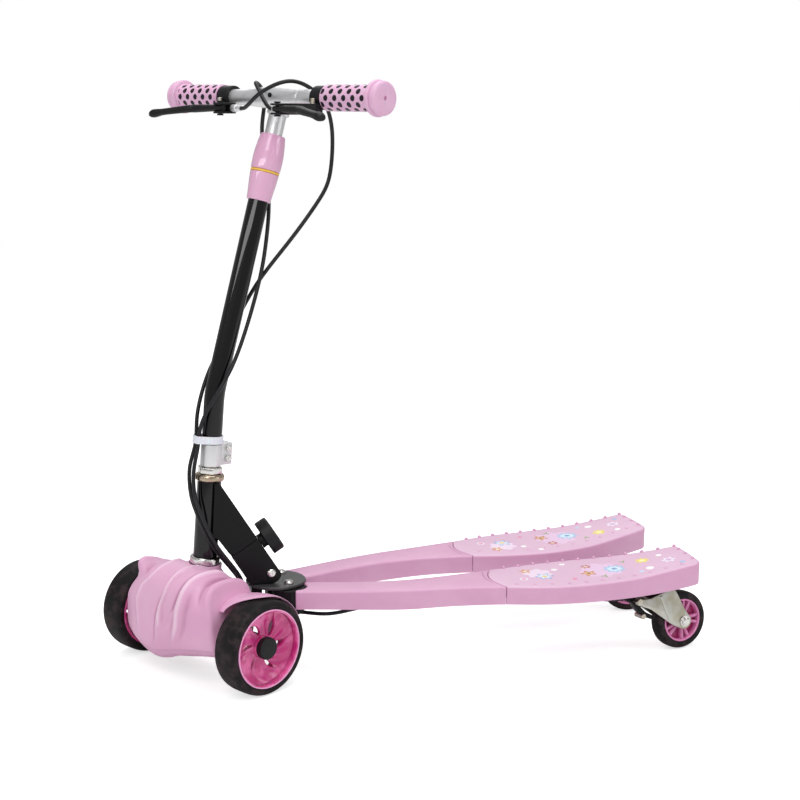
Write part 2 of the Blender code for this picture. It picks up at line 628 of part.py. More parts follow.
for name, side in (("left", 1), ("right", -1)):
    along_bar = turn(-side * math.pi / 2, "X")
    piece("grip_" + name, *moved(turned(grip_profile), along_bar), PINK, bar_line)
    bracket_body = mirrored(slab(bracket_outline, BRACKET_LOW, BRACKET_HIGH), side)
    bracket = piece("lever_bracket_" + name, *bracket_body, BLACK_PLASTIC, bar_line)
    weld(bracket, moved(rod(CLAMP_RING, CLAMP_INNER, CLAMP_OUTER), along_bar))
    cut(bracket, moved(rod(GRIP_BORE, 0.05, 0.09), along_bar))
    cut(bracket, mirrored(box((SLOT_BACK, 0.0300, SLOT_LOW), (0.0700, 0.0900, SLOT_HIGH)), side))
    to_lever = shift(LEVER_F, side * LEVER_L, LEVER_Z)
    lever_pivot = frame("lever_pivot_" + name, BAR_WORLD @ to_lever, bar_line)
    pin_clear = rod(LEVER_PIN + GAP, -0.03, 0.03, 12)
    cut(bracket, moved(pin_clear, shift(LEVER_F, side * LEVER_L, 0.0)))
    blade = moved(mirrored(oval_sweep(LEVER_PATH), side), to_lever.inverted())
    lever = piece("brake_lever_" + name, *blade, BLACK_PLASTIC, lever_pivot)
    pin_top = BRACKET_HIGH - LEVER_Z
    weld(lever, headed_pin(LEVER_PIN, 0.0040, pin_top, 0.0020, 12))
    piece("adjuster_" + name, *turned(
        [(0, GAP), (0.0042, GAP), (0.0045, 0.0010), (0.0045, 0.0080), (0.0038, 0.0090),
         (0.0034, 0.0160), (0, 0.0160)], 14),
        SILVER, bar_line, shift(ADJUSTER_F, side * 0.0460, LEVER_Z) @ turn(side * math.pi / 2, "X"))

# Front truck: a beam on the steerer's foot, its axle, and the moulded fairing over it

WHEEL_MIDDLE = (FRONT_TRACK - FRONT_WIDTH) / 2
HUB_INNER = WHEEL_MIDDLE - 0.0186
HUB_OUTER = WHEEL_MIDDLE + 0.0090
WHEEL_ROOM = 0.00645  # between the fairing and each hub
FAIRING_HALF = HUB_INNER - WHEEL_ROOM
FAIRING_WALL = 0.0030
AXLE = 0.0050
SHOULDER = 0.0080
beam_half_length = FAIRING_HALF - FAIRING_WALL - 0.0010
to_axle = AXLE_WORLD.inverted() @ STEER_WORLD
BEAM_DEEP = 0.0120  # half of the beam, front to back
beam = box((-BEAM_DEEP, -beam_half_length, -BEAM_HALF), (BEAM_DEEP, beam_half_length, BEAM_HALF))
axle_beam = piece("axle_beam", *beam, BLACK_STEEL, axle_line)
weld(axle_beam, moved(rod(0.0140, 0.0, 0.0300), to_axle))
cut(axle_beam, moved(rod(STEERER + GAP, BEAM_HALF, 0.05), to_axle))
cut(axle_beam, moved(rod(AXLE + GAP, -0.2, 0.2), ALONG_Y))
half_axle = [(0, HUB_OUTER + 0.0050), (0.0068, HUB_OUTER + 0.0050), (0.0072, HUB_OUTER + 0.0042),
             (0.0072, HUB_OUTER + GAP), (AXLE, HUB_OUTER + GAP), (AXLE, HUB_INNER - GAP),
             (SHOULDER, HUB_INNER - GAP), (SHOULDER, beam_half_length + GAP), (AXLE, beam_half_length + GAP)]
whole_axle = half_axle + [(radius, -along) for radius, along in half_axle[::-1]]
piece("front_axle", *turned(whole_axle, 12), ZINC, axle_line, ALONG_Y)

FAIRING_STATIONS = (  # across, front, back, top, bottom from the axle
    (0.0000, 0.0630, -0.0335, 0.0850, -0.0340),
    (0.0300, 0.0650, -0.0330, 0.0840, -0.0320),
    (0.0600, 0.0620, -0.0310, 0.0790, -0.0230),
    (FAIRING_HALF, 0.0480, -0.0290, 0.0760, -0.0190),
)
FAIRING_HOLE = 0.0200  # round the steerer
FENDER_GAP = 0.0022
FENDER_WALL = 0.0022
FENDER_OUT = 0.1130
FENDER_ARC = (52, 168)  # degrees round the axle from straight ahead


def fairing_ring(across, inset):
    """A rounded outline of the fairing at a distance across, drawn in by inset."""
    stations = np.array(FAIRING_STATIONS)
    front, back, top, bottom = (np.interp(abs(across), stations[:, 0], column) for column in stations.T[1:])
    middle = ((front + back) / 2, (top + bottom) / 2)
    half = ((front - back) / 2 - inset, (top - bottom) / 2 - inset)
    ring = []
    for a in np.arange(16) * 2 * math.pi / 16:
        c, s = math.cos(a), math.sin(a)
        ring.append((middle[0] + half[0] * math.copysign(abs(c) ** 0.72, c), across,
                     middle[1] + half[1] * math.copysign(abs(s) ** 0.72, s)))
    return ring


def fairing_body(inset, slices):
    """The fairing's whole bulk, drawn in by inset on every side."""
    half_length = FAIRING_HALF - inset
    return loft([fairing_ring(across, inset) for across in np.linspace(-half_length, half_length, slices)])


fairing = piece("fairing", *fairing_body(0.0, 7), PINK, axle_line)
cut(fairing, fairing_body(FAIRING_WALL, 5))
cut(fairing, box((-0.0150, -0.0700, -0.0600), (0.0350, 0.0700, -0.0150)))
fender_inner = FRONT_RADIUS + FENDER_GAP
fender_outer = fender_inner + FENDER_WALL
fender = (arc((0, 0), fender_outer, *FENDER_ARC, 9)
          + arc((0, 0), fender_inner, *FENDER_ARC[::-1], 9))
for side in (1, -1):
    low, high = sorted((side * (FAIRING_HALF - 0.0020), side * FENDER_OUT))
    weld(fairing, slab(fender, low, high, "XZ"))
cut(fairing, moved(rod(FAIRING_HOLE, 0.04, 0.2), to_axle))
cut(fairing, moved(rod(SHOULDER + RUN, -0.2, 0.2), ALONG_Y))


# Front wheels: tyre, spoked hub, bearing and cap

def wheel_parts(name, parent, place, radius, width, rim, ends, boss, core, spokes, web, sides):
    """A tyre and a hub whose web has open windows, turned about the parent's line.

    The hub goes from end to end, and core is the profile of its bore."""
    hub_inner, hub_outer = ends
    half = width / 2
    shoulder = (radius - rim) * 0.55
    piece("tyre_" + name, *turned(
        [(rim, half), (radius - shoulder, half - 0.0004), (radius - 0.0030, half - 0.0036),
         (radius, half * 0.45), (radius, -half * 0.45), (radius - 0.0030, -half + 0.0036),
         (radius - shoulder, -half + 0.0004), (rim, -half)], sides), RUBBER, parent, place)
    hub_rim = rim - GAP
    rim_wall = 0.0036
    rim_half = half - 0.0010
    hub = piece("hub_" + name, *turned(
        [core[-1][:1] + (hub_inner,), (boss, hub_inner), (boss, web[0]), (hub_rim - rim_wall, web[0]),
         (hub_rim - rim_wall, -rim_half), (hub_rim, -rim_half), (hub_rim, rim_half),
         (hub_rim - rim_wall, rim_half), (hub_rim - rim_wall, web[1]), (boss, web[1]),
         (boss, hub_outer)] + core, sides), DEEP_PINK, parent, place)
    window_inner, window_outer = boss + 0.0035, hub_rim - rim_wall - 0.0020
    share = 0.62 * 180 / spokes
    windows = ([], [])
    for k in range(spokes):
        middle = 92 + 360 * k / spokes
        outline = (arc((0, 0), window_outer, middle - share, middle + share, 1)
                   + arc((0, 0), window_inner, middle + share * 0.8, middle - share * 0.8, 1))
        verts, faces = slab(outline, web[0] - 0.01, web[1] + 0.01)
        start = len(windows[0])
        windows[0].extend(verts)
        windows[1].extend([tuple(start + i for i in face) for face in faces])
    cut(hub, windows)


BEARING = 0.0110
BEARING_WIDE = 0.0070
BOSS = 0.0142
for name, side in (("left", 1), ("right", -1)):
    spin = frame("front_wheel_" + name, AXLE_WORLD @ shift(0.0, side * WHEEL_MIDDLE, 0.0), axle_line)
    outwards = turn(-side * math.pi / 2, "X")
    hub_face = HUB_OUTER - WHEEL_MIDDLE
    seat = hub_face - BEARING_WIDE
    core = [(BEARING + GAP, hub_face), (BEARING + GAP, seat - GAP), (AXLE + RUN, seat - GAP)]
    wheel_parts("front_" + name, spin, outwards, FRONT_RADIUS, FRONT_WIDTH, FRONT_RIM,
                (HUB_INNER - WHEEL_MIDDLE, hub_face), BOSS, core, 6, (0.0010, 0.0060), 20)
    bearing = [(AXLE + RUN, seat), (BEARING, seat), (BEARING, hub_face), (AXLE + RUN, hub_face)]
    piece("bearing_" + name, *turned(bearing), ZINC, spin, outwards)
    cap_low = hub_face + GAP
    cap_high = cap_low + 0.0082
    piece("wheel_cap_" + name, *turned(
        [(0.0088, cap_low), (FRONT_CAP, cap_low), (FRONT_CAP, cap_high - 0.0015),
         (FRONT_CAP - 0.0020, cap_high), (0, cap_high + 0.0004), (0, cap_high - 0.0018),
         (0.0088, cap_high - 0.0022)]),
        BLACK_PLASTIC, spin, outwards)


# Decks: a steel arm with its pivot barrel and caster housing, under two moulded shells

def smooth(at, places, values):
    """A smooth curve through values at places, read at one place."""
    places, values = np.asarray(places, float), np.asarray(values, float)
    slopes = np.gradient(values, places)
    k = int(np.clip(np.searchsorted(places, at) - 1, 0, len(places) - 2))
    span = places[k + 1] - places[k]
    u = (at - places[k]) / span
    return float((2 * u**3 - 3 * u**2 + 1) * values[k] + (u**3 - 2 * u**2 + u) * span * slopes[k]
                 + (3 * u**2 - 2 * u**3) * values[k + 1] + (u**3 - u**2) * span * slopes[k + 1])


STATIONS = np.array(DECK_STATIONS)
EDGE_ROUND = 0.0040


def deck_line(back, column):
    return smooth(back, STATIONS[:, 0], STATIONS[:, column])


def deck_ring(back, inset=0.0, side=1, deeper=0.0, pull=0.0):
    """A deck's outline at a distance back from its pivot, inset on the top and the sides."""
    inner, outer = deck_line(back, 1) + inset + pull, deck_line(back, 2) - inset - pull
    top, low = deck_line(back, 3) - inset, deck_line(back, 4) - deeper
    soft = max(EDGE_ROUND - inset * 0.7, 0.0010)
    ring = [(outer, low), (outer, top - soft), (outer - 0.3 * soft, top - 0.3 * soft), (outer - soft, top),
            (inner + soft, top), (inner + 0.3 * soft, top - 0.3 * soft), (inner, top - soft), (inner, low)]
    return [(-back, side * t, z) for t, z in ring]


DECK_FRONT = 0.0050
ARM_WIDE = 0.0200
ARM_TALL = 0.0170
ARM_TOP_MOST = 0.1125
ARM_LINE = ((0.0, 0.0), (0.0200, 0.0070), (0.0800, 0.0215), (0.1400, 0.0335), (0.2000, 0.0375),
            (0.3500, 0.0390), (0.4400, 0.0410), (0.4820, 0.0440), (0.5000, 0.0450))
ARM_END = 0.4980
ARM_STOPS = list(np.linspace(0.004, 0.20, 6)) + [0.40, ARM_END]


def arm_ring(back, side, spare, below=0.0):
    """The steel arm's outline at a distance back, with spare room round it and more below for the cable."""
    line = np.array(ARM_LINE)
    middle = smooth(back, line[:, 0], line[:, 1])
    top = min(deck_line(back, 3), ARM_TOP_MOST) - DECK_WALL - GAP + spare
    low = top - ARM_TALL - 2 * spare - below
    half = ARM_WIDE / 2 + spare
    ring = [(middle - half, low), (middle + half, low), (middle + half, top), (middle - half, top)]
    return [(-back, side * t, z) for t, z in ring]


def deck_shell(name, side, start, end, parent, rounded_end):
    """A tray, open below, between two distances back, with walls all round its sides."""
    stops = list(np.linspace(start, end, max(int((end - start) / 0.034), 7)))
    pulls = [0.0] * len(stops)
    if rounded_end:
        stops[-1:] = [end - 0.0080, end - 0.0025, end]
        pulls[-1:] = [0.0, 0.0025, 0.0080]
    outside = loft([deck_ring(b, 0.0, side, 0.0, p) for b, p in zip(stops, pulls)])
    shell = piece(name, *outside, PINK, parent, sharp=40)
    inside = np.linspace(start + DECK_WALL, end - DECK_WALL, max(int((end - start) / 0.034), 7))
    cut(shell, loft([deck_ring(b, DECK_WALL, side, 0.02) for b in inside]))
    return shell


HOUSING = 0.0135
HOUSING_LOW = -0.0130
HOUSING_HIGH = 0.0110
KINGPIN = 0.0050
camber = math.asin(math.sin(CASTER_TURN) * math.sin(CASTER_TILT))
wheel_drop = (CASTER_HEIGHT - REAR_RADIUS * math.cos(camber) - 0.225 * REAR_WIDTH * math.sin(camber)
              + CASTER_TRAIL * math.cos(CASTER_TURN) * math.sin(CASTER_TILT)) / math.cos(CASTER_TILT)
FORK_INNER = REAR_WIDTH / 2 + 0.0014
FORK_OUTER = FORK_INNER + FORK_WALL
CROWN_TOP = HOUSING_LOW - RUN
REAR_AXLE = 0.0040
BRAKE_X, BRAKE_Z, BRAKE_PIN = 0.0360, -0.0105, 0.0028
fork_outline = (
    [(0.0180, CROWN_TOP), (0.0400, -0.0070), (0.0415, -0.0120), (0.0205, -0.0280), (-0.0060, -0.0612),
     (-0.0190, -0.0725)]
    + arc((-CASTER_TRAIL, -wheel_drop), 0.0110, -60, -180, 6)
    + [(-0.0310, -0.0480), (-0.0255, -0.0240), (-0.0210, CROWN_TOP)]
)
BRAKE_OUTLINE = (
    (0.0430, 0.0005), (0.0480, 0.0005), (0.0480, -0.0080), (0.0405, -0.0150), (0.0365, -0.0330),
    (0.0250, -0.0440), (0.0165, -0.0480), (0.0125, -0.0400), (0.0290, -0.0300), (0.0320, -0.0100))
BRAKE_HALF = 0.0060
PAD_GAP = 0.0016

casters = {}
for name, side in (("left", 1), ("right", -1)):
    deck_world = PIVOT_WORLD @ shift(0.0, side * BOLT_SPREAD, 0.0) @ turn(-side * SPLAY, "Z")
    deck = frame("deck_" + name, deck_world, base)
    to_kingpin = shift(-CASTER_BACK, side * CASTER_OUT, CASTER_HEIGHT) @ turn(CASTER_TILT, "Y")
    kingpin_world = deck_world @ to_kingpin
    steel = piece("deck_frame_" + name, *turned(
        [(0, barrel_low), (BARREL - 0.0010, barrel_low), (BARREL, barrel_low + 0.0010),
         (BARREL, barrel_high - 0.0010), (BARREL - 0.0010, barrel_high), (0, barrel_high)]),
        BLACK_STEEL, deck)
    weld(steel, loft([arm_ring(b, side, 0.0) for b in ARM_STOPS]))
    weld(steel, moved(rod(HOUSING, HOUSING_LOW, HOUSING_HIGH), to_kingpin))
    cut(steel, rod(PIVOT_PIN + RUN, 0.0, 0.2))
    cut(steel, moved(rod(KINGPIN + RUN, -0.05, 0.0060), to_kingpin))
    arm_room = loft([arm_ring(b, side, 0.0004, 2.8 * CABLE) for b in ARM_STOPS + [ARM_END + 0.001]])
    arm_shell = deck_shell("deck_arm_" + name, side, DECK_FRONT, DECK_SPLIT - GAP, deck, False)
    platform = deck_shell("deck_platform_" + name, side, DECK_SPLIT, DECK_END, deck, True)
    cut(arm_shell, arm_room)
    cut(platform, arm_room)
    cut(arm_shell, rod(BARREL + RUN, 0.0, 0.2))

    caster_world = kingpin_world @ turn(side * CASTER_TURN, "Z")
    caster = frame("caster_" + name, caster_world, deck)
    casters[name] = caster_world
    fork = piece("fork_" + name, *slab(fork_outline, -FORK_OUTER, FORK_OUTER, "XZ"), ZINC, caster)
    cut(fork, box((-0.1, -FORK_INNER, -0.1), (0.1, FORK_INNER, CROWN_TOP - FORK_WALL)))
    cut(fork, box((0.0180, -FORK_INNER, -0.1), (0.1, FORK_INNER, 0.02)))
    weld(fork, rod(KINGPIN, CROWN_TOP - 0.0010, 0.0050))
    axle_place = shift(-CASTER_TRAIL, 0.0, -wheel_drop) @ ALONG_Y
    cut(fork, moved(rod(REAR_AXLE + GAP, -0.03, 0.03), axle_place))
    brake_place = shift(BRAKE_X, 0.0, BRAKE_Z)
    cut(fork, moved(rod(BRAKE_PIN + GAP, -0.03, 0.03, 14), brake_place @ ALONG_Y))
    piece("rear_axle_" + name, *turned(
        [(0, -FORK_OUTER - 0.0045), (0.0064, -FORK_OUTER - 0.0045), (0.0064, -FORK_OUTER - GAP),
         (REAR_AXLE, -FORK_OUTER - GAP), (REAR_AXLE, FORK_OUTER + GAP), (0.0066, FORK_OUTER + GAP),
         (0.0062, FORK_OUTER + 0.0040), (0.0040, FORK_OUTER + 0.0046), (0, FORK_OUTER + 0.0046)], 14),
        CHROME, caster, axle_place)
    spin = frame("rear_wheel_" + name, caster_world @ shift(-CASTER_TRAIL, 0.0, -wheel_drop), caster)
    hub_end = REAR_HUB / 2 + 0.0012
    wheel_parts("rear_" + name, spin, ALONG_Y, REAR_RADIUS, REAR_WIDTH, REAR_RIM, (-hub_end, hub_end),
                0.0095, [(REAR_AXLE + RUN, hub_end)], 5, (-0.0035, 0.0035), 16)

    brake = frame("brake_" + name, caster_world @ brake_place, caster)
    brake_outline = [(x - BRAKE_X, z - BRAKE_Z) for x, z in BRAKE_OUTLINE]
    arm = piece("brake_arm_" + name, *slab(brake_outline, -BRAKE_HALF, BRAKE_HALF, "XZ"), BLACK_STEEL, brake)
    weld(arm, moved(headed_pin(BRAKE_PIN, 0.0048, FORK_OUTER, 0.0030, 14), ALONG_Y))
    cut(arm, moved(rod(REAR_RADIUS + PAD_GAP, -0.02, 0.02, 40),
                   shift(-CASTER_TRAIL - BRAKE_X, 0.0, -wheel_drop - BRAKE_Z) @ ALONG_Y))

# Brake cables: each runs from its adjuster over the bar, down the stem, under its deck and to its brake arm

TIE_LOW = STEM_FOOT + 0.0008
TIE_HIGH = TIE_LOW + 0.0095
TIE_WALL = 0.0014
# routes in millimetres, each stretch in the frame that carries it
LEFT_IN_TIE = (19.5, -2.0)
RIGHT_IN_TIE = (17.5, -9.8)
LEFT_ROUTE = (
    (BAR_WORLD, ((30, 29.3, -13.5), (30, 23, -13.4), (26, 8, -3), (21, -6, 9), (15.7, -19.4, 18.3),
                 (2, -29.5, 17), (-13.5, -35, 7), (-15, -36, -10))),
    (UPPER_WORLD, ((-4, -29, 334), (-16, -18, 295), (-20, 0, 246), (-22, 6, 202), (-21, 12, 164),
                   (-17, 14, 106), (-5, 19, 47), (6, 17.5, 13))),
    (STEER_WORLD, ((17.5, 4, 276), (19.5, -1.6, 254), (*LEFT_IN_TIE, 243), (20.5, -2.4, 228),
                   (22.8, -4, 210), (23.2, -4, 192), (22.6, 0, 171))),
    (PIVOT_WORLD, ((113.5, 18.5, 219), (107, 25, 201), (96.5, 25.5, 175), (79.5, 20.5, 150),
                   (64, 12, 128.5), (56.4, 7, 113), (54.6, 5.2, 98), (54.4, 5, 84), (51.7, 5.2, 73.2),
                   (44, 5.6, 69.4), (30, 6.5, 69), (10, 7.5, 69.4), (-8, 11, 70.4), (-23, 19.5, 70.8))),
)
RIGHT_ROUTE = (
    (BAR_WORLD, ((30, -29.3, -13.5), (30.5, -22, -13.3), (36, -5, -6), (35, 10, 5), (26, 30, 16),
                 (14, 43, 20.5), (1, 52, 17), (-14, 57, 8), (-32, 57.5, -6), (-46, 54, -32),
                 (-53, 48, -62))),
    (UPPER_WORLD, ((-68, 46, 294), (-60, 44, 267), (-44, 31, 216), (-29, 10, 165), (-23.5, -3, 131),
                   (-17, -12, 90), (-9, -19, 55), (4, -17.5, 21))),
    (STEER_WORLD, ((14.5, -14, 279), (17, -10.6, 257), (*RIGHT_IN_TIE, 243), (18.5, -10.5, 230),
                   (20.5, -14.5, 212), (21.2, -15.2, 196), (22, -9, 171))),
    (PIVOT_WORLD, ((116.5, 12.5, 214), (109.5, 19.3, 195), (100, 19.8, 171), (83.5, 14, 149.5),
                   (66.5, 5, 126.5), (57.4, 0.4, 112), (54.8, -1.4, 98), (54.4, -4, 84),
                   (51.7, -5.2, 73.2), (44, -5.6, 69.4), (30, -6.5, 69), (10, -7.5, 69.4),
                   (-8, -11, 70.4), (-23, -19.5, 70.8))),
)
DECK_ROUTE = ((-45, 9, 70.8), (-66, 15.5, 74.6), (-88, 23, 81.5), (-112, 28.5, 86), (-150, 34.2, 88.2),
              (-200, 37.5, 89), (-260, 38, 89), (-320, 38.6, 89), (-372, 40, 88.2))
CASTER_ROUTE = ((78, -9, -1.5), (63, -1.5, -3.4), (48.4, 0, -3.8))


LONG_SPAN = 0.026


def through(points):
    """Points on a smooth curve through the given ones, with one more in the middle of each long span."""
    ends = [2 * points[0] - points[1]] + points + [2 * points[-1] - points[-2]]
    curve = []
    for a, b, c, d in zip(ends, ends[1:], ends[2:], ends[3:]):
        for u in (0.0, 0.5) if (c - b).length > LONG_SPAN else (0.0,):
            curve.append(0.5 * (2 * b + (c - a) * u + (2 * a - 5 * b + 4 * c - d) * u**2
                                + (3 * b - a - 3 * c + d) * u**3))
    return curve + [points[-1]]


for name, side, route in (("left", 1, LEFT_ROUTE), ("right", -1, RIGHT_ROUTE)):
    deck_world = PIVOT_WORLD @ shift(0.0, side * BOLT_SPREAD, 0.0) @ turn(-side * SPLAY, "Z")
    points = [place @ (Vector(p) / 1000) for place, stretch in route for p in stretch]
    points += [deck_world @ (Vector((x, side * y, z)) / 1000) for x, y, z in DECK_ROUTE]
    points += [casters[name] @ (Vector((x, side * y, z)) / 1000) for x, y, z in CASTER_ROUTE]
    curve = bpy.data.curves.new("brake_cable_" + name, "CURVE")
    curve.dimensions = "3D"
    curve.bevel_depth = CABLE
    curve.bevel_resolution = 2
    curve.use_fill_caps = True
    line = curve.splines.new("POLY")
    stops = through(points)
    line.points.add(len(stops) - 1)
    for point, stop in zip(line.points, stops):
        point.co = (*stop, 1.0)
    curve.materials.append(BLACK_PLASTIC)
    cable = bpy.data.objects.new("brake_cable_" + name, curve)
    bpy.context.collection.objects.link(cable)


def hull_of_circles(circles, grow):
    """The outline round circles (x, y, radius), each grown a little, going anticlockwise."""
    dots = sorted({(round(x + (r + grow) * math.cos(a), 7), round(y + (r + grow) * math.sin(a), 7))
                   for x, y, r in circles for a in np.arange(20) * math.pi / 10})
    halves = []
    for run in (dots, dots[::-1]):
        half = []
        for p in run:
            while len(half) > 1 and ((half[-1][0] - half[-2][0]) * (p[1] - half[-2][1])
                                     - (half[-1][1] - half[-2][1]) * (p[0] - half[-2][0])) <= 0:
                half.pop()
            half.append(p)
        halves += half[:-1]
    return halves


held = [(0.0, 0.0, STEM_TUBE)]
held += [(x / 1000, y / 1000, CABLE) for x, y in (LEFT_IN_TIE, RIGHT_IN_TIE)]
cable_tie = piece("cable_tie", *slab(hull_of_circles(held, 0.0006 + TIE_WALL), TIE_LOW, TIE_HIGH),
                  WHITE_PLASTIC, steering_axis)
cut(cable_tie, slab(hull_of_circles(held, 0.0006), TIE_LOW - 0.01, TIE_HIGH + 0.01))
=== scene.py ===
"""Kids scooter with two front wheels on a steered truck and a swinging foot deck over each rear wheel."""
import json

import bmesh
import bpy
import numpy as np
from mathutils import Matrix


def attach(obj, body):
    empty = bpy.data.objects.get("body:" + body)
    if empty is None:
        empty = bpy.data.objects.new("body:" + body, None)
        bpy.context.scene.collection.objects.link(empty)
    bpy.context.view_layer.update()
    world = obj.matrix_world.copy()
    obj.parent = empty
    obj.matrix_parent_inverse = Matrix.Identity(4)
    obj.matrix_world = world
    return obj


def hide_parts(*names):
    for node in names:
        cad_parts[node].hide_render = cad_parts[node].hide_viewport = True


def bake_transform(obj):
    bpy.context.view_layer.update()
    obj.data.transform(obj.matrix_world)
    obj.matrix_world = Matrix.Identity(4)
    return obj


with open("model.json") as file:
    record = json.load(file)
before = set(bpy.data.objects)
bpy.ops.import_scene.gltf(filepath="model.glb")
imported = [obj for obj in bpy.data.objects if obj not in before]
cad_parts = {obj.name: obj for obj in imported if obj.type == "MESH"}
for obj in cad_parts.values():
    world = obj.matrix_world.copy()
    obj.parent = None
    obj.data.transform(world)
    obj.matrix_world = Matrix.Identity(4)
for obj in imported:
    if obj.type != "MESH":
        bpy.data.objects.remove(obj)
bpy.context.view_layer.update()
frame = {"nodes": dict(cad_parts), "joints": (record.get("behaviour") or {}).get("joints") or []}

joints = {joint["name"]: joint for joint in frame["joints"]}

# Front tyres
# Two cast rubber rings, 120 mm over the tread and wide for their size, with round shoulders.
# Each is moulded over its hub's rim, so no seam shows, and the tread is dusty from the floor.

SIDES = (("left", 1), ("right", -1))
UP = (0.0, 0.0, 1.0)


def stand(origin, up, ahead=(1.0, 0.0, 0.0)):
    """A 4x4 place whose +Z points along up, and whose +X is what is left of ahead square to it."""
    up = np.asarray(up, float) / np.linalg.norm(up)
    left = np.cross(up, ahead)
    left /= np.linalg.norm(left)
    place = np.eye(4)
    place[:3, 0], place[:3, 1], place[:3, 2], place[:3, 3] = np.cross(left, up), left, up, origin
    return place


def moved(patches, place):
    """Each point p of the patches becomes R p + t, from a 4x4 place."""
    return [patch @ place[:3, :3].T + place[:3, 3] for patch in patches]


def through(points, steps=6):
    """Catmull-Rom curve: a cubic between each two points, whose slope at a point is half the chord of its
    neighbours."""
    p = np.asarray(points, float)
    p = np.vstack([2 * p[0] - p[1], p, 2 * p[-1] - p[-2]])
    u = np.linspace(0, 1, steps, endpoint=False)[:, None]
    a, b, c, d = (p[i:len(p) - 3 + i, None] for i in range(4))
    curve = 0.5 * (2 * b + (c - a) * u + (2 * a - 5 * b + 4 * c - d) * u**2 + (3 * b - a - 3 * c + d) * u**3)
    return np.vstack([curve.reshape(-1, p.shape[1]), p[-2]])


def rounded(corners, radius, steps=4):
    """A closed outline: each corner is cut back along both sides, by radius or a little under half the side,
    and bridged by the parabola (1-u)^2 a + 2u(1-u) corner + u^2 b."""
    c = np.asarray(corners, float)
    radius = np.broadcast_to(np.asarray(radius, float).reshape(-1, 1), (len(c), 1))
    ends = []
    for neighbour in (np.roll(c, 1, 0), np.roll(c, -1, 0)):
        way = neighbour - c
        length = np.maximum(np.linalg.norm(way, axis=1, keepdims=True), 1e-9)
        ends.append((c + way / length * np.minimum(radius, 0.49 * length))[:, None])
    u = np.linspace(0, 1, steps + 1)[:, None]
    curve = ((1 - u)**2 * ends[0] + 2 * u * (1 - u) * c[:, None] + u**2 * ends[1]).reshape(-1, 2)
    return np.vstack([curve, curve[:1]])


def lathe(profile, sides=96):
    """A turned surface in metres: each (radius, height) of a closed profile in millimetres goes round +Z as
    (r cos a, r sin a, h)."""
    profile = np.asarray(profile, float) / 1000
    angle = np.linspace(0, 2 * np.pi, sides + 1)
    r, h = profile[:, :1], profile[:, 1:]
    return [np.stack([r * np.cos(angle), r * np.sin(angle), h + 0 * angle], -1)]


def solid(name, patches, body, finish, place=None, stands_for=(), sharp=35, shade=None):
    """One object from patches: a grid (rows, columns, 3) gives a face to each four neighbours, unless one is
    not a number, and a loop (n, 3) gives one face. The points go through the place, and keep their own in
    "own". A piece without a body is attached to none. Shade, where given, is a value a point."""
    points, faces, uvs, start = [], [], [], 0
    for patch in patches:
        flat = patch.reshape(-1, 3)
        index = start + np.arange(len(flat))
        if patch.ndim == 3:
            rows, columns = patch.shape[:2]
            index = index.reshape(rows, columns)
            quads = np.stack([index[:-1, :-1], index[:-1, 1:], index[1:, 1:], index[1:, :-1]], -1)
            quads = quads.reshape(-1, 4)
            faces += quads[~np.isnan(flat[quads - start, 0]).any(1)].tolist()
            v, u = np.meshgrid(np.linspace(0, 1, rows), np.linspace(0, 1, columns), indexing="ij")
            uvs.append(np.stack([u, v], -1).reshape(-1, 2))
        else:
            faces.append(index.tolist())
            uvs.append(np.zeros((len(flat), 2)))
        points.append(flat)
        start += len(flat)
    own, uvs = np.nan_to_num(np.vstack(points)), np.vstack(uvs)
    points = own if place is None else moved([own], place)[0]
    mesh = bpy.data.meshes.new(name)
    mesh.from_pydata(points.tolist(), [], faces)
    layer = mesh.uv_layers.new(name="UVMap")
    layer.data.foreach_set("uv", uvs[np.concatenate([np.asarray(f) for f in faces])].ravel())
    mesh.attributes.new("own", "FLOAT_VECTOR", "POINT").data.foreach_set("vector", own.ravel())
    if shade is not None:
        mesh.attributes.new("shade", "FLOAT", "POINT").data.foreach_set("value", shade)
    work = bmesh.new()
    work.from_mesh(mesh)
    bmesh.ops.remove_doubles(work, verts=work.verts, dist=2e-6)
    bmesh.ops.dissolve_degenerate(work, edges=work.edges, dist=1e-7)
    bmesh.ops.delete(work, geom=[v for v in work.verts if not v.link_faces], context="VERTS")
    bmesh.ops.recalc_face_normals(work, faces=work.faces)
    work.to_mesh(mesh)
    work.free()
    mesh.shade_smooth()
    mesh.set_sharp_from_angle(angle=np.radians(sharp))
    mesh.materials.append(finish.material)
    made = bpy.data.objects.new(name, mesh)
    bpy.context.collection.objects.link(made)
    if stands_for:
        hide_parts(*stands_for)
    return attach(made, body) if body else made


def skin_of(node, patches, body, finish, place=None, **more):
    """The piece that stands for one CAD node, and is named for it."""
    return solid(f"{node}_skin", patches, body, finish, place, [node], **more)


class Wire:
    """A value on its way through a finish; arithmetic on it adds Math nodes."""

    def __init__(self, finish, socket):
        self.finish, self.socket = finish, socket

    def math(self, operation, *others):
        """A Math node on this value and the others."""
        return self.finish.node("Math", {"operation": operation}, dict(enumerate((self, *others))))

    def __add__(self, other):
        return self.math("ADD", other)

    def __sub__(self, other):
        return self.math("SUBTRACT", other)

    def __rsub__(self, other):
        return self.finish.node("Math", {"operation": "SUBTRACT"}, {0: other, 1: self})

    def __mul__(self, other):
        return self.math("MULTIPLY", other)

    def __pow__(self, other):
        return self.math("POWER", other)

    __radd__, __rmul__ = __add__, __mul__


def linear(colour):
    """The linear colour of six hexadecimal digits in sRGB: c/12.92 in the darks, and elsewhere
    ((c + 0.055)/1.055)^2.4."""
    c = np.array([int(colour[i:i + 2], 16) / 255 for i in (0, 2, 4)])
    return (*np.where(c < 0.04045, c / 12.92, ((c + 0.055) / 1.055)**2.4), 1.0)


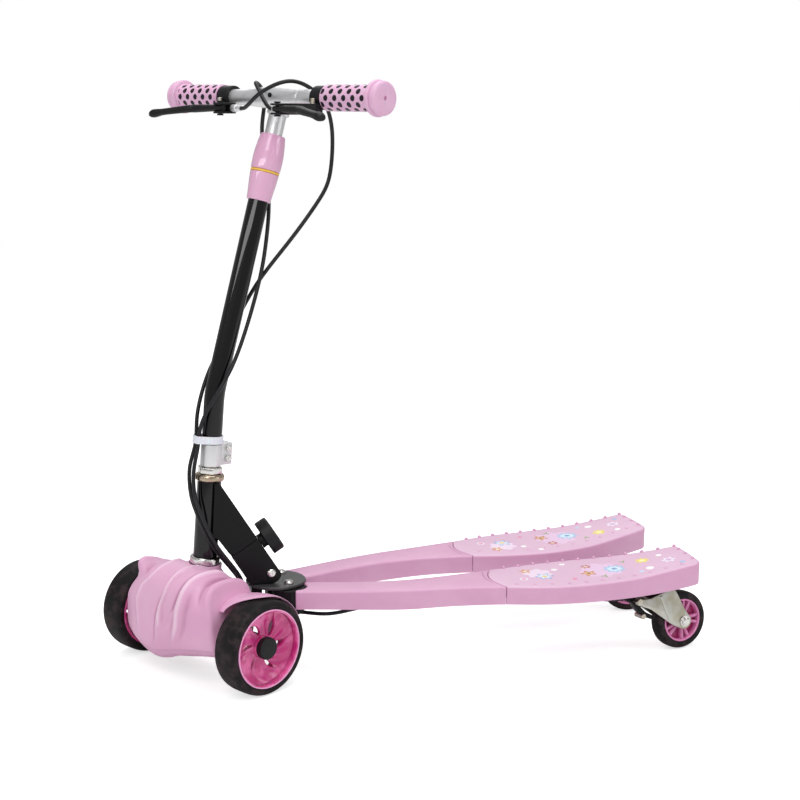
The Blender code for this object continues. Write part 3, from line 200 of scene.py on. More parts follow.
class Finish:
    """A material whose nodes are added one by one; what is the same all over is set on its shader."""

    def __init__(self, name, **same):
        self.material = bpy.data.materials.new(name)
        self.material.use_nodes = True
        self.tree = self.material.node_tree
        self.shader = self.tree.nodes["Principled BSDF"]
        self.feed(**same)

    def node(self, kind, settings=None, values=None, out=0):
        """A new shader node: its settings first, then the values or links of its sockets."""
        made = self.tree.nodes.new("ShaderNode" + kind)
        for key, value in (settings or {}).items():
            setattr(made, key, value)
        for key, value in (values or {}).items():
            self.put(made.inputs[key], value)
        return Wire(self, made.outputs[out])

    def put(self, socket, value):
        """Links a wire to a socket, or sets the socket to a value."""
        if isinstance(value, Wire):
            self.tree.links.new(value.socket, socket)
        else:
            socket.default_value = value

    def feed(self, **sockets):
        """Values or links for the shader, named as its sockets are with _ for a space."""
        for key, value in sockets.items():
            self.put(self.shader.inputs[key.replace("_", " ")], value)

    def spots(self, scale, detail=3.0, rough=0.55):
        """Cloudy noise from 0 to 1, so many to the metre."""
        return self.node("TexNoise", {}, {"Scale": scale, "Detail": detail, "Roughness": rough,
                                          "Vector": self.node("TexCoord", out=3)})

    def between(self, low, high, value):
        """0 below low and 1 above high, smooth between."""
        return self.node("MapRange", {"interpolation_type": "SMOOTHSTEP"},
                         {0: value, 1: low, 2: high, 3: 0.0, 4: 1.0})

    def mix(self, share, first, second):
        """From the first colour to the second: each a wire, a linear colour or six hexadecimal digits."""
        first, second = (linear(tint) if isinstance(tint, str) else tint for tint in (first, second))
        return self.node("Mix", {"data_type": "RGBA"}, {0: share, 6: first, 7: second}, 2)

    def bumps(self, height, deep, strength):
        """The surface's normal over a height from 0 to 1 that is so many metres deep."""
        return self.node("Bump", {}, {"Height": height, "Distance": deep, "Strength": strength})

    def own(self, *directions):
        """A point's own coordinates, as they were before its piece was put in place."""
        own = self.node("Attribute", {"attribute_name": "own"}, out=1)
        return [self.node("SeparateXYZ", {}, {0: own}, out=direction) for direction in directions]


rubber = Finish("black_rubber", Specular_IOR_Level=0.18)
dust = rubber.spots(70, 5, 0.6)
rubber.feed(
    Base_Color=rubber.mix(rubber.between(0.42, 0.62, dust) * 0.85, "151315", "352A2C"),
    Roughness=0.5 + 0.22 * dust,
    Normal=rubber.bumps(rubber.spots(900, 4, 0.7), 0.00012, 0.6))

FRONT_RIM = 49.8
half_tyre = through([(FRONT_RIM, 17.2), (50.7, 18), (52.8, 18.6), (55.6, 18.4), (58, 16.6), (59.4, 13.2),
                     (59.9, 8), (60, 0)], 5)
front_tyre = np.vstack([half_tyre, (half_tyre * (1, -1))[::-1], half_tyre[:1]])
front_wheels = []
for name, side in SIDES:
    joint = joints[f"front_wheel_{name}_spin"]
    place = stand(joint["pos_m"], side * np.array(joint["axis"]), np.cross(joint["axis"], UP))
    front_wheels.append((name, place))
    skin_of(f"tyre_front_{name}", lathe(front_tyre, 128), f"front_wheel_{name}", rubber, place)

# Front hubs
# Clear magenta mouldings: a rim with a pale polished lip, and a dish of six swept blades round a boss.
# Light comes through the slits between the blades, and the blades' folds shine.


def cloudy(name, colours, cloud, grain, sheen=None, spread=None, **same):
    """A finish of two colours mixed by a cloud, which may be spread between two of its values. The grain is
    its depth, its strength and its cloud; the sheen is a roughness, how much more at most, and its cloud.
    Each cloud is what spots takes."""
    made = Finish(name, **same)
    share = made.spots(*cloud)
    if spread:
        share = made.between(*spread, share)
    made.feed(Base_Color=made.mix(share, *colours), Normal=made.bumps(made.spots(*grain[2:]), *grain[:2]))
    if sheen:
        made.feed(Roughness=sheen[0] + sheen[1] * made.spots(*sheen[2:]))
    return made


clear_pink = cloudy(
    "clear_magenta", ("C93082", "EE74B2"), (45, 3, 0.5), (0.0003, 0.5, 420, 2), spread=(0.38, 0.66),
    Roughness=0.18, Coat_Weight=0.6, Coat_Roughness=0.05, Subsurface_Weight=0.25, Subsurface_Scale=0.004)
pale_lip = Finish("pale_pink_lip", Base_Color=linear("EFA6D2"), Roughness=0.22, Coat_Weight=0.5)
pale_lip.feed(Normal=pale_lip.bumps(pale_lip.spots(700), 0.0001, 0.4))

HUB_RIM = FRONT_RIM - 0.3
BOSS = 14.2
BLADES = 6
BLADE_THICK = 3.4
SLIT = 3.2
SWEEP = np.radians(26)
rim_ring = rounded([
    (HUB_RIM, -18), (HUB_RIM, 18), (HUB_RIM - 3.4, 18), (HUB_RIM - 2.4, 12), (HUB_RIM - 2.4, -12),
    (HUB_RIM - 3.4, -18)], 1.2)
lip_ring = rounded([
    (HUB_RIM + 0.2, 17.6), (HUB_RIM + 0.2, 18.8), (HUB_RIM - 1.3, 19), (HUB_RIM - 1.6, 17.6)], 0.5)
boss_ring = rounded([(5.8, -18), (BOSS, -18), (BOSS, 8.6), (11.2, 9), (5.8, 1.8)], 0.8)


def blade(k):
    """A swept blade from boss to rim: its middle line turns by SWEEP on the way out, its edges stand back by
    a slit that is widest near the boss, and its face is a dish with two folds."""
    out = np.linspace(0, 1, 28)[:, None]
    across = np.linspace(-1, 1, 25)[None, :]
    radius = BOSS - 1 + out * (HUB_RIM - BOSS - 2)
    slit = SLIT * np.sin(np.pi * np.clip((out - 0.06) / 0.62, 0, 1))**0.8
    half = np.pi / BLADES - slit / radius
    angle = 2 * np.pi * (k + 0.25) / BLADES + SWEEP * out**1.3 + across * half
    middle = np.sin(np.pi * out)
    dish = 4 + 5.6 * out**2 - 1.8 * middle
    fold = 1.1 * middle * np.cos(1.5 * np.pi * across) + 1.6 * across * middle
    top, low = (
        np.stack([radius * np.cos(angle), radius * np.sin(angle), dish + fold + level], -1) / 1000
        for level in (0, -BLADE_THICK))
    edge = [np.vstack([sheet[0], sheet[:, -1], sheet[-1, ::-1], sheet[::-1, 0]]) for sheet in (top, low)]
    return [top, low[::-1], np.stack(edge)]


blades = [patch for k in range(BLADES) for patch in blade(k)]
for name, place in front_wheels:
    wheel = f"front_wheel_{name}"
    solid(f"hub_front_{name}_rim", lathe(rim_ring, 128) + lathe(boss_ring, 64), wheel, clear_pink, place,
          [f"hub_front_{name}"])
    solid(f"hub_front_{name}_blades", blades, wheel, clear_pink, place)
    solid(f"hub_front_{name}_lip", lathe(lip_ring, 128), wheel, pale_lip, place)

# Front bearings and hub caps
# A shielded ball bearing sits in each hub's face, and a black plastic cap over it hides the axle's nut.
# The cap is a shallow cup with a soft edge.

black_plastic = cloudy("black_plastic", ("0B0B0D", "151518"), (60,), (0.0001, 0.5, 1400, 3, 0.6),
                       (0.38, 0.2, 1400, 3, 0.6), Specular_IOR_Level=0.3)
CAP, CAP_BORE = 14, 8.8
cap_profile = rounded([(CAP_BORE, 9.3), (CAP, 9.3), (CAP, 17.5), (0, 17.9), (0, 15.7), (CAP_BORE, 15.3)],
                      [0.2, 0.4, 2.2, 0, 0, 0.4], 6)
for name, place in front_wheels:
    solid(f"wheel_cap_{name}_cup", lathe(cap_profile, 64), f"front_wheel_{name}", black_plastic, place,
          [f"wheel_cap_{name}"])

# Front truck
# A black steel beam on the steerer's foot carries the axle; only its ends and underside show behind the
# cover. The axle is a zinc-plated rod with a nut under each cap.

black_steel = cloudy("black_powder_coat", ("0B0B0C", "131315"), (35,), (0.00008, 0.35, 900, 2, 0.5),
                     (0.3, 0.16, 250), Coat_Weight=0.10, Coat_Roughness=0.2, Specular_IOR_Level=0.14)
zinc = cloudy("zinc_plate", ("C9C7C0", "B9AE95"), (110, 4, 0.6), (0.00004, 0.4, 1500),
              (0.24, 0.22, 380, 4), (0.35, 0.7), Metallic=1.0)


def dress(finish, *nodes, edge=0.0):
    """Gives CAD nodes whose own shape is right their finish, and rounds their edges by so many metres."""
    for node in nodes:
        made = frame["nodes"][node]
        made.data.materials.clear()
        made.data.materials.append(finish.material)
        if edge:
            made.modifiers.new("joined", "WELD").merge_threshold = 1e-5
            rounding = made.modifiers.new("rounded", "BEVEL")
            rounding.width, rounding.segments, rounding.limit_method = edge, 3, "ANGLE"
            rounding.angle_limit, rounding.harden_normals = np.radians(40), True


dress(black_steel, "axle_beam", edge=0.0008)
dress(zinc, "front_axle", "bearing_left", "bearing_right")

# Front cover
# One pink moulding over the truck, folded like overlapping petals that sweep down from the steerer, with a
# wing over each wheel. It is satin polypropylene, with painted shade in the valleys of its folds and a
# painted highlight on their crests.

pink = Finish("pink_moulding", Specular_IOR_Level=0.45)
# painted shade in the folds' valleys and a painted highlight on their crests, read from the shade attribute
painted_valley_shade = pink.node("Attribute", {"attribute_name": "shade"}, out=2)
plain_pink = pink.mix(pink.between(0.3, 0.7, pink.spots(14, 3)), "DCA4C6", "E2B0CE")
painted_crest_pink = pink.mix(pink.between(0.1, 1.0, painted_valley_shade * -1) * 0.8, plain_pink, "F0CFE2")
pink.feed(
    Base_Color=pink.mix(pink.between(0.1, 1.0, painted_valley_shade) * 0.75, painted_crest_pink, "AE6C92"),
    Roughness=0.34 + 0.14 * pink.spots(45, 4),
    Normal=pink.bumps(pink.spots(1100, 3, 0.6), 0.0001, 0.25))

steering = joints["steering"]
forward = np.cross(joints["front_wheel_left_spin"]["axis"], UP)
truck = stand(steering["pos_m"], UP, forward)
COVER_HALF, COVER_WALL = 87.9, 3.0
COVER = through([  # across, front, back, top, bottom from the axle
    (0, 63, -33.5, 82.8, -34), (30, 64, -33, 82.2, -32), (60, 61.5, -32, 80, -27),
    (COVER_HALF, 52, -30, 74.5, -24)], 12)
# how much shorter each end is, against degrees round it
FAR_TAPER = through([(-60, 0), (-20, 0), (0, 0.02), (15, 0.08), (28, 0.16), (42, 0.25), (60, 0.27),
                     (242, 0.24)]).T
NEAR_TAPER = through([(-60, 0), (-30, 0.01), (-10, 0.04), (15, 0.10), (45, 0.165), (80, 0.19),
                      (242, 0.19)]).T
# how much higher the lower edge lies than the plain section's, against across
LOBES = through([(-88, -1), (-70, -7), (-52, -10.8), (-38, -12), (-26, -11.2), (-14, -9), (-2, -4.6),
                 (10, -0.4), (24, 3), (45, 5.8), (88, 6.6)]).T
# each fold crosses the cover here: degrees round it from straight ahead, then across
LEFT_CREST = np.array([(-62, -38), (-40, -44), (-17, -44), (0, -48), (10, -51), (30, -50.5), (42, -45),
                       (58, -38), (72, -35), (90, -35), (120, -38), (180, -42), (245, -42)]).T
MIDDLE_GROOVE = np.array([(-62, -24), (-30, -20), (-2, -14), (5, -9), (14, -5), (27, 1), (48, 5), (64, 5),
                          (79, 6), (100, 8), (180, 10), (245, 10)]).T
PANEL_LEFT = np.array([(-20, 0), (0, -4), (9, -1.5), (25, 5.5), (55, 11), (75, 15), (100, 20)]).T
PANEL_RIGHT = np.array([(-20, 8), (0, 17), (7, 27), (30, 38), (45, 41), (75, 44), (100, 46)]).T
RIGHT_CREST = np.array([(-62, 8), (-30, 15), (-13, 24), (0, 34), (19, 41), (44, 46.5), (84, 53), (120, 56),
                        (245, 58)]).T
FOREMOST, HINDMOST = -60, 242


def soft(value, low, high):
    """0 below low and 1 above high; t^2 (3 - 2t) between, where t goes from 0 to 1."""
    t = np.clip((value - low) / (high - low), 0, 1)
    return t**2 * (3 - 2 * t)


def stretch(value, low, full, fading, gone):
    """Rises softly from low to full, and falls softly from fading to gone."""
    return soft(value, low, full) * (1 - soft(value, fading, gone))


def bell(value, width):
    """1 at 0, and e^-(value/width)^2 elsewhere."""
    return np.exp(-(value / width)**2)


def step(value, up, down):
    """A step that dies away on both sides: e^-(value/up) above 0, and -e^(value/down) below."""
    return np.where(value > 0, np.exp(-np.abs(value) / up), -np.exp(-np.abs(value) / down))


def folds(across, around):
    """How far the folded cover stands out: each fold is a bell or a step of the distance from its own line,
    and the panel is a hollow between two lines."""
    left, groove, panel, panel_end, right = (
        across - np.interp(around, *line)
        for line in (LEFT_CREST, MIDDLE_GROOVE, PANEL_LEFT, PANEL_RIGHT, RIGHT_CREST))
    over = stretch(around, -30, 10, 130, 170)
    out = 4.2 * step(left, 24, 7) * soft(around, 8, 40) * over
    out += 3.0 * bell(left, 5) * (1 - soft(around, 10, 40)) * over
    out += 2.6 * (step(groove, 18, 10) - bell(groove, 2.2)) * over
    out -= 2.6 * soft(panel, 0, 2.2) * (1 - soft(panel_end, -6, 0)) * stretch(around, -5, 1, 60, 85)
    out += 1.2 * bell(panel + 1.4, 1.6) * stretch(around, -6, 2, 50, 75)
    out += (4.6 * bell(right, 6) - 2.4 * bell(right - 14, 7) - 1.6 * bell(right + 13, 6)) * over
    out += (2.6 * bell(across - 84, 5) - 3.4 * bell(across - 70, 5.5)) * stretch(around, 5, 40, 110, 150)
    # the far end swells into a wing, and the top sinks on both sides of the steerer
    out += 19 * soft(-across, 62, 88) * bell(around - 57, np.where(around < 57, 14, 26))
    out -= 3 * soft(-across, 45, 70) * bell(around - 105, 30)
    out -= 9 * bell(across + 34, 17) * stretch(around, 88, 106, 150, 190)
    out -= 11 * bell(across - 46, 30) * stretch(around, 85, 122, 150, 190)
    return out - 1.2 * (1 - soft(around, -36, -30))


def cover_point(across, around, inset, out):
    """The cover's round-cornered section at a distance across, in metres: both half sizes times a cosine or
    sine raised to a power with its sign kept, drawn in by inset and pushed out along the angle. The power is
    0.72 above the axle and 0.56 below."""
    front, back, top, bottom = (np.interp(np.abs(across), COVER[:, 0], column) for column in COVER.T[1:])
    bottom = bottom + np.interp(across, *LOBES)
    shorter = np.where(across < 0, np.interp(around, *FAR_TAPER), np.interp(around, *NEAR_TAPER))
    c, s = np.cos(np.radians(around)), np.sin(np.radians(around))
    power = 0.64 + 0.08 * np.clip(s * 4, -1, 1)
    x = (front + back) / 2 + ((front - back) / 2 - inset) * np.sign(c) * np.abs(c)**power + out * c
    z = (top + bottom) / 2 + ((top - bottom) / 2 - inset) * np.sign(s) * np.abs(s)**power + out * s
    return np.stack([x, across * (1 - shorter) + 0 * x, z], -1) / 1000


RIM_ROUND = 4.5
round_off = np.linspace(0, np.pi / 2, 6)
rim_across = COVER_HALF - RIM_ROUND * (1 - np.sin(round_off))
rim_inset = RIM_ROUND * (1 - np.cos(round_off))
flat_across = np.linspace(-rim_across[0], rim_across[0], 112)[1:-1]
across = np.concatenate([-rim_across[::-1], flat_across, rim_across])[None]
inset = np.concatenate([rim_inset[::-1], 0 * flat_across, rim_inset])[None]
scallop = FOREMOST + 3 * np.cos(across / 17) - 2 * np.cos(across / 7)
around = scallop + (HINDMOST - scallop) * np.linspace(0, 1, 190)[:, None]
lean = truck[:3, :3].T @ np.asarray(steering["axis"], float)
HOLE, SPREAD, DROPPED, KEPT = 0.0205, 0.0420, 0.0120, 0.0140


def open_round(points):
    """Opens a hole about the steerer: a point's distance r from that line becomes HOLE + (r - KEPT)(SPREAD
    - HOLE)/(SPREAD - KEPT), never less than HOLE, and the points nearer than DROPPED are left out."""
    along = (points @ lean)[..., None] * lean
    off = points - along
    r = np.linalg.norm(off, axis=-1, keepdims=True)
    grown = HOLE + np.maximum(r - KEPT, 0) * (SPREAD - HOLE) / (SPREAD - KEPT)
    above = points[..., 2:] > 0.03
    opened = np.where(above & (r < SPREAD), along + off / np.maximum(r, 1e-6) * grown, points)
    return np.where(above & (r < DROPPED), np.nan, opened)


relief = folds(across, around) * (inset < 4)
blurred = relief
for _ in range(30):
    blurred = (np.roll(blurred, 1, 1) + 2 * blurred + np.roll(blurred, -1, 1)) / 4
outside = open_round(cover_point(across, around, inset, relief))
inner_across = across * (COVER_HALF - COVER_WALL) / COVER_HALF
inside = open_round(cover_point(inner_across, around, 2 * COVER_WALL, np.minimum(relief, 0)))
cover = [outside, inside, np.stack([outside[0], inside[0]]), np.stack([outside[-1], inside[-1]])]
# each end is closed by a wall with a round hole for the axle
AXLE_HOLE = 0.0087
to_hole = np.linspace(0, 1, 7)[:, None, None]
for end in (0, -1):
    walls = []
    for sheet in (outside, inside):
        edge = sheet[:, end]
        level = edge * (1, 0, 1)
        hole = level / np.linalg.norm(level, axis=1, keepdims=True) * AXLE_HOLE + (0, edge[0, 1], 0)
        walls.append(edge + (hole - edge) * to_hole)
    outer, inner = walls
    cover += [outer, inner, np.stack([outer[-1], inner[-1]]), np.stack([outer[:, 0], inner[:, 0]]),
              np.stack([outer[:, -1], inner[:, -1]])]
# a fender reaches out over each tyre from the cover's side, and narrows to nothing towards its front
FENDER_FRONT, FENDER_FULL, FENDER_BACK, FENDER_ROOT = 52, 98, 192, 66
turn = np.linspace(FENDER_FRONT, FENDER_BACK, 60)[:, None]
ease = np.clip((turn - FENDER_FRONT) / (FENDER_FULL - FENDER_FRONT), 0, 1)
tail_off = np.clip((FENDER_BACK + 4 - turn) / 12, 0.3, 1)**0.5
reach = 86.2 + 35 * soft(turn, FENDER_FRONT, FENDER_FULL) * tail_off
share = np.concatenate([np.linspace(0, 1, 12), [1.0]])[None]
lip = np.clip((share - 0.85) / 0.15, 0, 1)
outwards = FENDER_ROOT + (reach - FENDER_ROOT) * share
c, s = np.cos(np.radians(turn)), np.sin(np.radians(turn))
for side in (1, -1):
    radii = [radius + 0.8 * thinner * lip**2 - 7 * (1 - ease)**2 - 9.5 * (1 - share)**2
             for radius, thinner in ((64.6, -1), (62.4, 1))]
    top, low = (np.stack([radius * c, side * outwards, radius * s], -1) / 1000 for radius in radii)
    cover += [top, low, np.stack([top[0], low[0]]), np.stack([top[-1], low[-1]]),
              np.stack([top[:, 0], low[:, 0]]), np.stack([top[:, -1], low[:, -1]])]
collar_round = rounded([(19.5, 74), (21.6, 74), (22, 82.2), (19.5, 82.2)], 0.8)
cover += moved(lathe(collar_round, 64), stand((0, 0, 0), lean))
# painted shade in the valleys and painted highlights on the crests, by how far the relief is below its own
# blur
painted_fold_shade = np.zeros(sum(patch.size // 3 for patch in cover))
painted_fold_shade[:relief.size] = ((blurred - relief) / 2.1 * np.clip((79 - np.abs(across)) / 6, 0, 1)).ravel()
skin_of("fairing", cover, "steering", pink, truck, sharp=50, shade=painted_fold_shade)

# Steering column
# A zinc-plated steerer passes through the head tube to a silver clamp, split at the back and drawn up by
# two screws, that grips the foot of the bent black stem. The stem is thin steel tube in a deep gloss black.

column = stand(steering["pos_m"], steering["axis"], forward)
upper_stem = stand(joints["collar_turn"]["pos_m"], joints["collar_turn"]["axis"], forward)

gloss_black = cloudy("gloss_black", ("060608", "0B0B0E"), (30,), (0.00008, 0.3, 240, 2), Roughness=0.25,
                     Coat_Weight=0.72, Coat_Roughness=0.03, Specular_IOR_Level=0.05)
silver = cloudy("polished_alloy", ("DCDCDE", "EDEDEE"), (90,), (0.00005, 0.4, 600, 4, 0.7),
                (0.34, 0.18, 600, 4, 0.7), Metallic=0.82)
bright = cloudy("bright_plate", ("D4D2CE", "E9E8E6"), (130,), (0.0001, 0.3, 260), (0.09, 0.1, 300),
                Metallic=1.0)


def tube(outer, bore, low, high):
    """The profile's corners of a turned tube, or of a rod where the bore is 0."""
    return [(outer, low), (outer, high), (bore, high), (bore, low)]


skin_of("steerer_tube", lathe(rounded(tube(10, 8, 10.3, 262.5), 0.3), 64), "steering", zinc, column)


def plate(outline, low, high, edge):
    """A flat piece in metres, whose outline in millimetres goes from low to high; along both rims it is drawn
    in by edge (1 - sin a), with its level edge (1 - cos a) from the end, as a turns through a quarter circle.
    Its two ends are single faces."""
    line = np.asarray(outline, float)
    if np.allclose(line[0], line[-1]):
        line = line[:-1]
    line = line[np.linalg.norm(line - np.roll(line, 1, 0), axis=1) > 1e-4]
    after = np.roll(line, -1, 0)
    if (line[:, 0] * after[:, 1] - line[:, 1] * after[:, 0]).sum() < 0:
        line = line[::-1]
    way = np.roll(line, -1, 0) - np.roll(line, 1, 0)
    inwards = np.stack([-way[:, 1], way[:, 0]], 1)
    inwards /= np.maximum(np.linalg.norm(way, axis=1, keepdims=True), 1e-9)
    turn = np.linspace(0, np.pi / 2, 4)
    inset = edge * (1 - np.sin(turn))
    level = edge * (1 - np.cos(turn))
    insets = np.concatenate([inset, inset[::-1]])
    levels = np.concatenate([low + level, high - level[::-1]])
    rows = line[None] + inwards[None] * insets[:, None, None]
    levels = np.broadcast_to(levels[:, None, None], (*rows.shape[:2], 1))
    rows = np.concatenate([rows, levels], 2) / 1000
    return [np.concatenate([rows, rows[:, :1]], 1), rows[0, ::-1], rows[-1]]


def ring_of(angles, radius):
    """Points (radius cos a, radius sin a), angles in degrees."""
    a = np.radians(angles)
    return np.stack([radius * np.cos(a), radius * np.sin(a)], 1)


NUT, CLAMP = (199.6, 207.8), (209.3, 237.2)
HEXAGON = np.arange(6) * 60
lock_nut = plate(rounded(ring_of(HEXAGON, 16.4), 1.2), *NUT, 1.2)
skin_of("lock_nut", lock_nut, "steering", bright, column)

EAR_BACK, EAR_HALF, SPLIT = -28, 7.5, 0.7
clamp_outline = np.vstack([
    ring_of(np.linspace(-145, 145, 40), 13.2), [(EAR_BACK, EAR_HALF), (EAR_BACK, SPLIT), (-11, SPLIT)],
    ring_of(np.linspace(176, -176, 50), 10.1), [(-11, -SPLIT), (EAR_BACK, -SPLIT), (EAR_BACK, -EAR_HALF)]])
skin_of("stem_clamp", plate(clamp_outline, *CLAMP, 0.6), "steering", silver, column)

clamp_bolt = lathe(rounded([(0, -12.2), (2.2, -12.2), (2.2, -13.5), (4.4, -13.5), (4.8, -13), (4.8, -7.8),
                            (0, -7.8)], 0.4), 32)
clamp_bolt += lathe(rounded(tube(2.5, 0, -8, 13.2), 0.3), 24)
clamp_bolt += plate(rounded(ring_of(HEXAGON, 4.8), 0.4), 7.8, 11.9, 0.5)
for name, height in (("upper", CLAMP[1] - 6.2), ("lower", CLAMP[0] + 8.5)):
    skin_of(f"clamp_bolt_{name}", clamp_bolt, "steering", bright,
            column @ stand((-0.0206, 0.0, height / 1000), (0.0, 1.0, 0.0)))


def sweep(path, radius, sides, bore=None):
    """A round bar or tube: at each point of the path a circle of radius square to it, its first direction
    carried along by taking away what lies along the path."""
    path = np.asarray(path, float)
    along = np.gradient(path, axis=0)
    along /= np.linalg.norm(along, axis=1, keepdims=True)
    across = np.cross(along[0], (0.31, 0.95, 0.05))
    frames = []
    for direction in along:
        across = across - across @ direction * direction
        across = across / np.linalg.norm(across)
        frames.append((across, np.cross(direction, across)))
    first, second = (np.array([pair[k] for pair in frames])[:, None] for k in (0, 1))
    turn = np.linspace(0, 2 * np.pi, sides + 1)[None, :, None]
    ring = first * np.cos(turn) + second * np.sin(turn)
    skin = path[:, None] + ring * radius
    if bore is None:
        return [skin, skin[0, -2::-1], skin[-1, :-1]]
    inner = path[:, None] + ring * bore
    return [np.concatenate([skin, inner[::-1], skin[:1]])]


STEM_TUBE, STEM_BORE, STEM_FOOT = 0.0127, 0.0115, 0.2376
ABOVE_BEND = (0.06, 0.12, 0.18, 0.24, 0.2828)
BEND, BEND_HEIGHT, BEND_RADIUS = np.radians(12.4), 0.3005, 0.110
turned_by = np.linspace(0, BEND, 12)
bend_run = BEND_RADIUS * np.tan(BEND / 2)
stem_path = np.vstack([
    [(0.0, 0.0, STEM_FOOT)],
    np.stack([BEND_RADIUS * (np.cos(turned_by) - 1), 0 * turned_by,
              BEND_HEIGHT - bend_run + BEND_RADIUS * np.sin(turned_by)], 1),
    [(-np.sin(BEND) * up, 0.0, BEND_HEIGHT + np.cos(BEND) * up) for up in ABOVE_BEND]])
skin_of("stem_tube", sweep(stem_path, STEM_TUBE, 64, STEM_BORE), "steering", gloss_black, column)

# Head tube
# A short black steel tube that the steerer turns in, with a plated bearing cup pressed into each end.
# The fold strut is welded to its back.

head = stand(steering["pos_m"], steering["axis"])
warm_plate = cloudy("warm_plate", ("A38D76", "D2C4B0"), (90,), (0.0001, 0.3, 300), (0.16, 0.12, 260),
                    Metallic=1.0)
skin_of("head_tube", lathe(rounded(tube(15.25, 13.1, 92, 190), 0.3), 64), "head", gloss_black, head)
cup_low = rounded([
    (10.6, 77), (15, 77), (18, 80), (18, 82.2), (19.2, 83.2), (19.2, 89.8), (17.6, 91.7), (12.6, 91.7),
    (12.6, 100), (10.6, 100)], 1)
cup_high = rounded([
    (10.6, 182), (12.6, 182), (12.6, 190.3), (17.2, 190.3), (18.6, 192.2), (18.6, 196.2), (16.5, 199),
    (10.6, 199)], 1)
skin_of("headset_cup_lower", lathe(cup_low, 72), "head", bright, head)
skin_of("headset_cup_upper", lathe(cup_high, 72), "head", warm_plate, head)

# Fold strut
# Two folded steel channels, end to end, run from the head tube down to the hinge bolt: the upper one is
# welded to the tube, and the lower one locks to the tongue inside by a spring pin with a round black knob.

dress(black_steel, "lower_bracket", "upper_bracket", edge=0.0009)
fold = stand(joints["fold"]["pos_m"], (0.53656, 0.0, 0.84386))
knob_profile = rounded([
    (0, -9), (4.5, -9), (4.5, 0.3), (9.5, 0.3), (9.5, 7), (23.2, 7), (23.2, 23), (0, 23)],
    [0, 0.8, 0.1, 0.2, 1.6, 1.4, 3, 0])
skin_of("lock_knob", lathe(knob_profile), "knob", black_plastic,
        fold @ stand((-0.0104, 0.0, 0.0367), (-1.0, 0.0, 0.0), (0.0, 1.0, 0.0)))
fold_bolt = rounded([
    (0, -26.2), (5.8, -26.2), (6.2, -25.2), (6.2, -20.3), (4, -20.3), (4, 20.3), (5.8, 20.3), (5.8, 21.8),
    (4, 23.6), (0, 23.6)], 0.4)
skin_of("fold_bolt", lathe(fold_bolt, 40), "base", bright, stand(fold[:3, 3], (0.0, 1.0, 0.0)))

# Base
# A round dark plate over the two deck pivots and a plate under them, with a post between; a dome-headed
# bolt goes down through each pivot. The fold tongue is welded to the round plate.

dark_plate = cloudy("dark_plate", ("3A3A3B", "525253"), (80, 4), (0.0001, 0.4, 700), (0.28, 0.2, 420, 4),
                    Metallic=0.4)
dress(dark_plate, "pivot_plate", edge=0.0007)
dress(black_steel, "base_frame", edge=0.0005)
dress(bright, "pivot_bolt_left", "pivot_bolt_right")

# Decks
# Each deck is a black steel arm, with a barrel on the pivot bolt and a housing for the caster, under two
# pink trays of moulded polypropylene with 3 mm walls: a plain one in front and a wider foot board behind,
# edged with grip studs.

dress(black_steel, "deck_frame_left", "deck_frame_right")
DECK_STATIONS = through([  # back from the pivot, inner edge, outer edge, top, bottom
    (0, -19, 23, 108.5, 85), (25, -14.5, 29, 108.8, 85.2), (80, 0.5, 44, 110, 85.8),
    (140, 11, 57, 111.3, 86), (200, 9.5, 65, 112.5, 88.6), (260, 0.5, 74.5, 113, 89.6),
    (320, -12, 88.5, 112.8, 89.9), (380, -18, 92.5, 113.6, 90.3), (440, -14, 90.5, 116.8, 91.8),
    (490, -5.5, 87, 123.6, 95.8), (535, 2, 84, 131.2, 102)], 12) / 1000
INNER, OUTER, TOP, BOTTOM = 1, 2, 3, 4
EDGE, WALL, CROWN, SEAM_EDGE = 0.0028, 0.0030, 0.0008, 0.001


def deck_line(back, which):
    """The deck's inner edge, outer edge, top or bottom, read from its stations at distances back."""
    return np.interp(back, DECK_STATIONS[:, 0], DECK_STATIONS[:, which])


quarter = np.linspace(0, np.pi / 2, 5)[1:]
rise, cross = np.linspace(0, 1, 3), np.linspace(0, 1, 14)[1:-1]
SHARE = np.concatenate([0 * rise, 0 * quarter, cross, 1 + 0 * quarter, 1 + 0 * rise])
REACH = np.concatenate([0 * rise, np.cos(quarter) - 1, 2 * cross - 1, 1 - np.cos(quarter[::-1]), 0 * rise])
LIFT = np.concatenate([0 * rise, np.sin(quarter), 1 + 0 * cross, np.sin(quarter[::-1]), 0 * rise])
CLIMB = np.concatenate([rise, 1 + 0 * quarter, 1 + 0 * cross, 1 + 0 * quarter, rise[::-1]])


def deck_skin(front, back, rows, inset):
    """One skin of a tray: each column starts up the outer wall, rounds the edge by a quarter circle, crosses
    the top and comes down the inner wall. Each row is (share of the way back, offset, further inset, pull of
    the sides)."""
    way, offset, more, pull = (np.asarray(row, float)[:, None] for row in zip(*rows))
    b = front * (1 - way) + back * way + offset
    inner, outer, top, low = (deck_line(b, which) for which in (INNER, OUTER, TOP, BOTTOM))
    inner, outer, top = inner + inset + more + pull, outer - inset - more - pull, top - inset - more
    edge = max(EDGE - 0.7 * inset, SEAM_EDGE)
    across = outer * (1 - SHARE) + inner * SHARE + REACH * edge
    level = top - edge * (1 - LIFT) + CROWN * 4 * SHARE * (1 - SHARE)
    return np.stack([-b, across, low + (level - low) * CLIMB], -1)


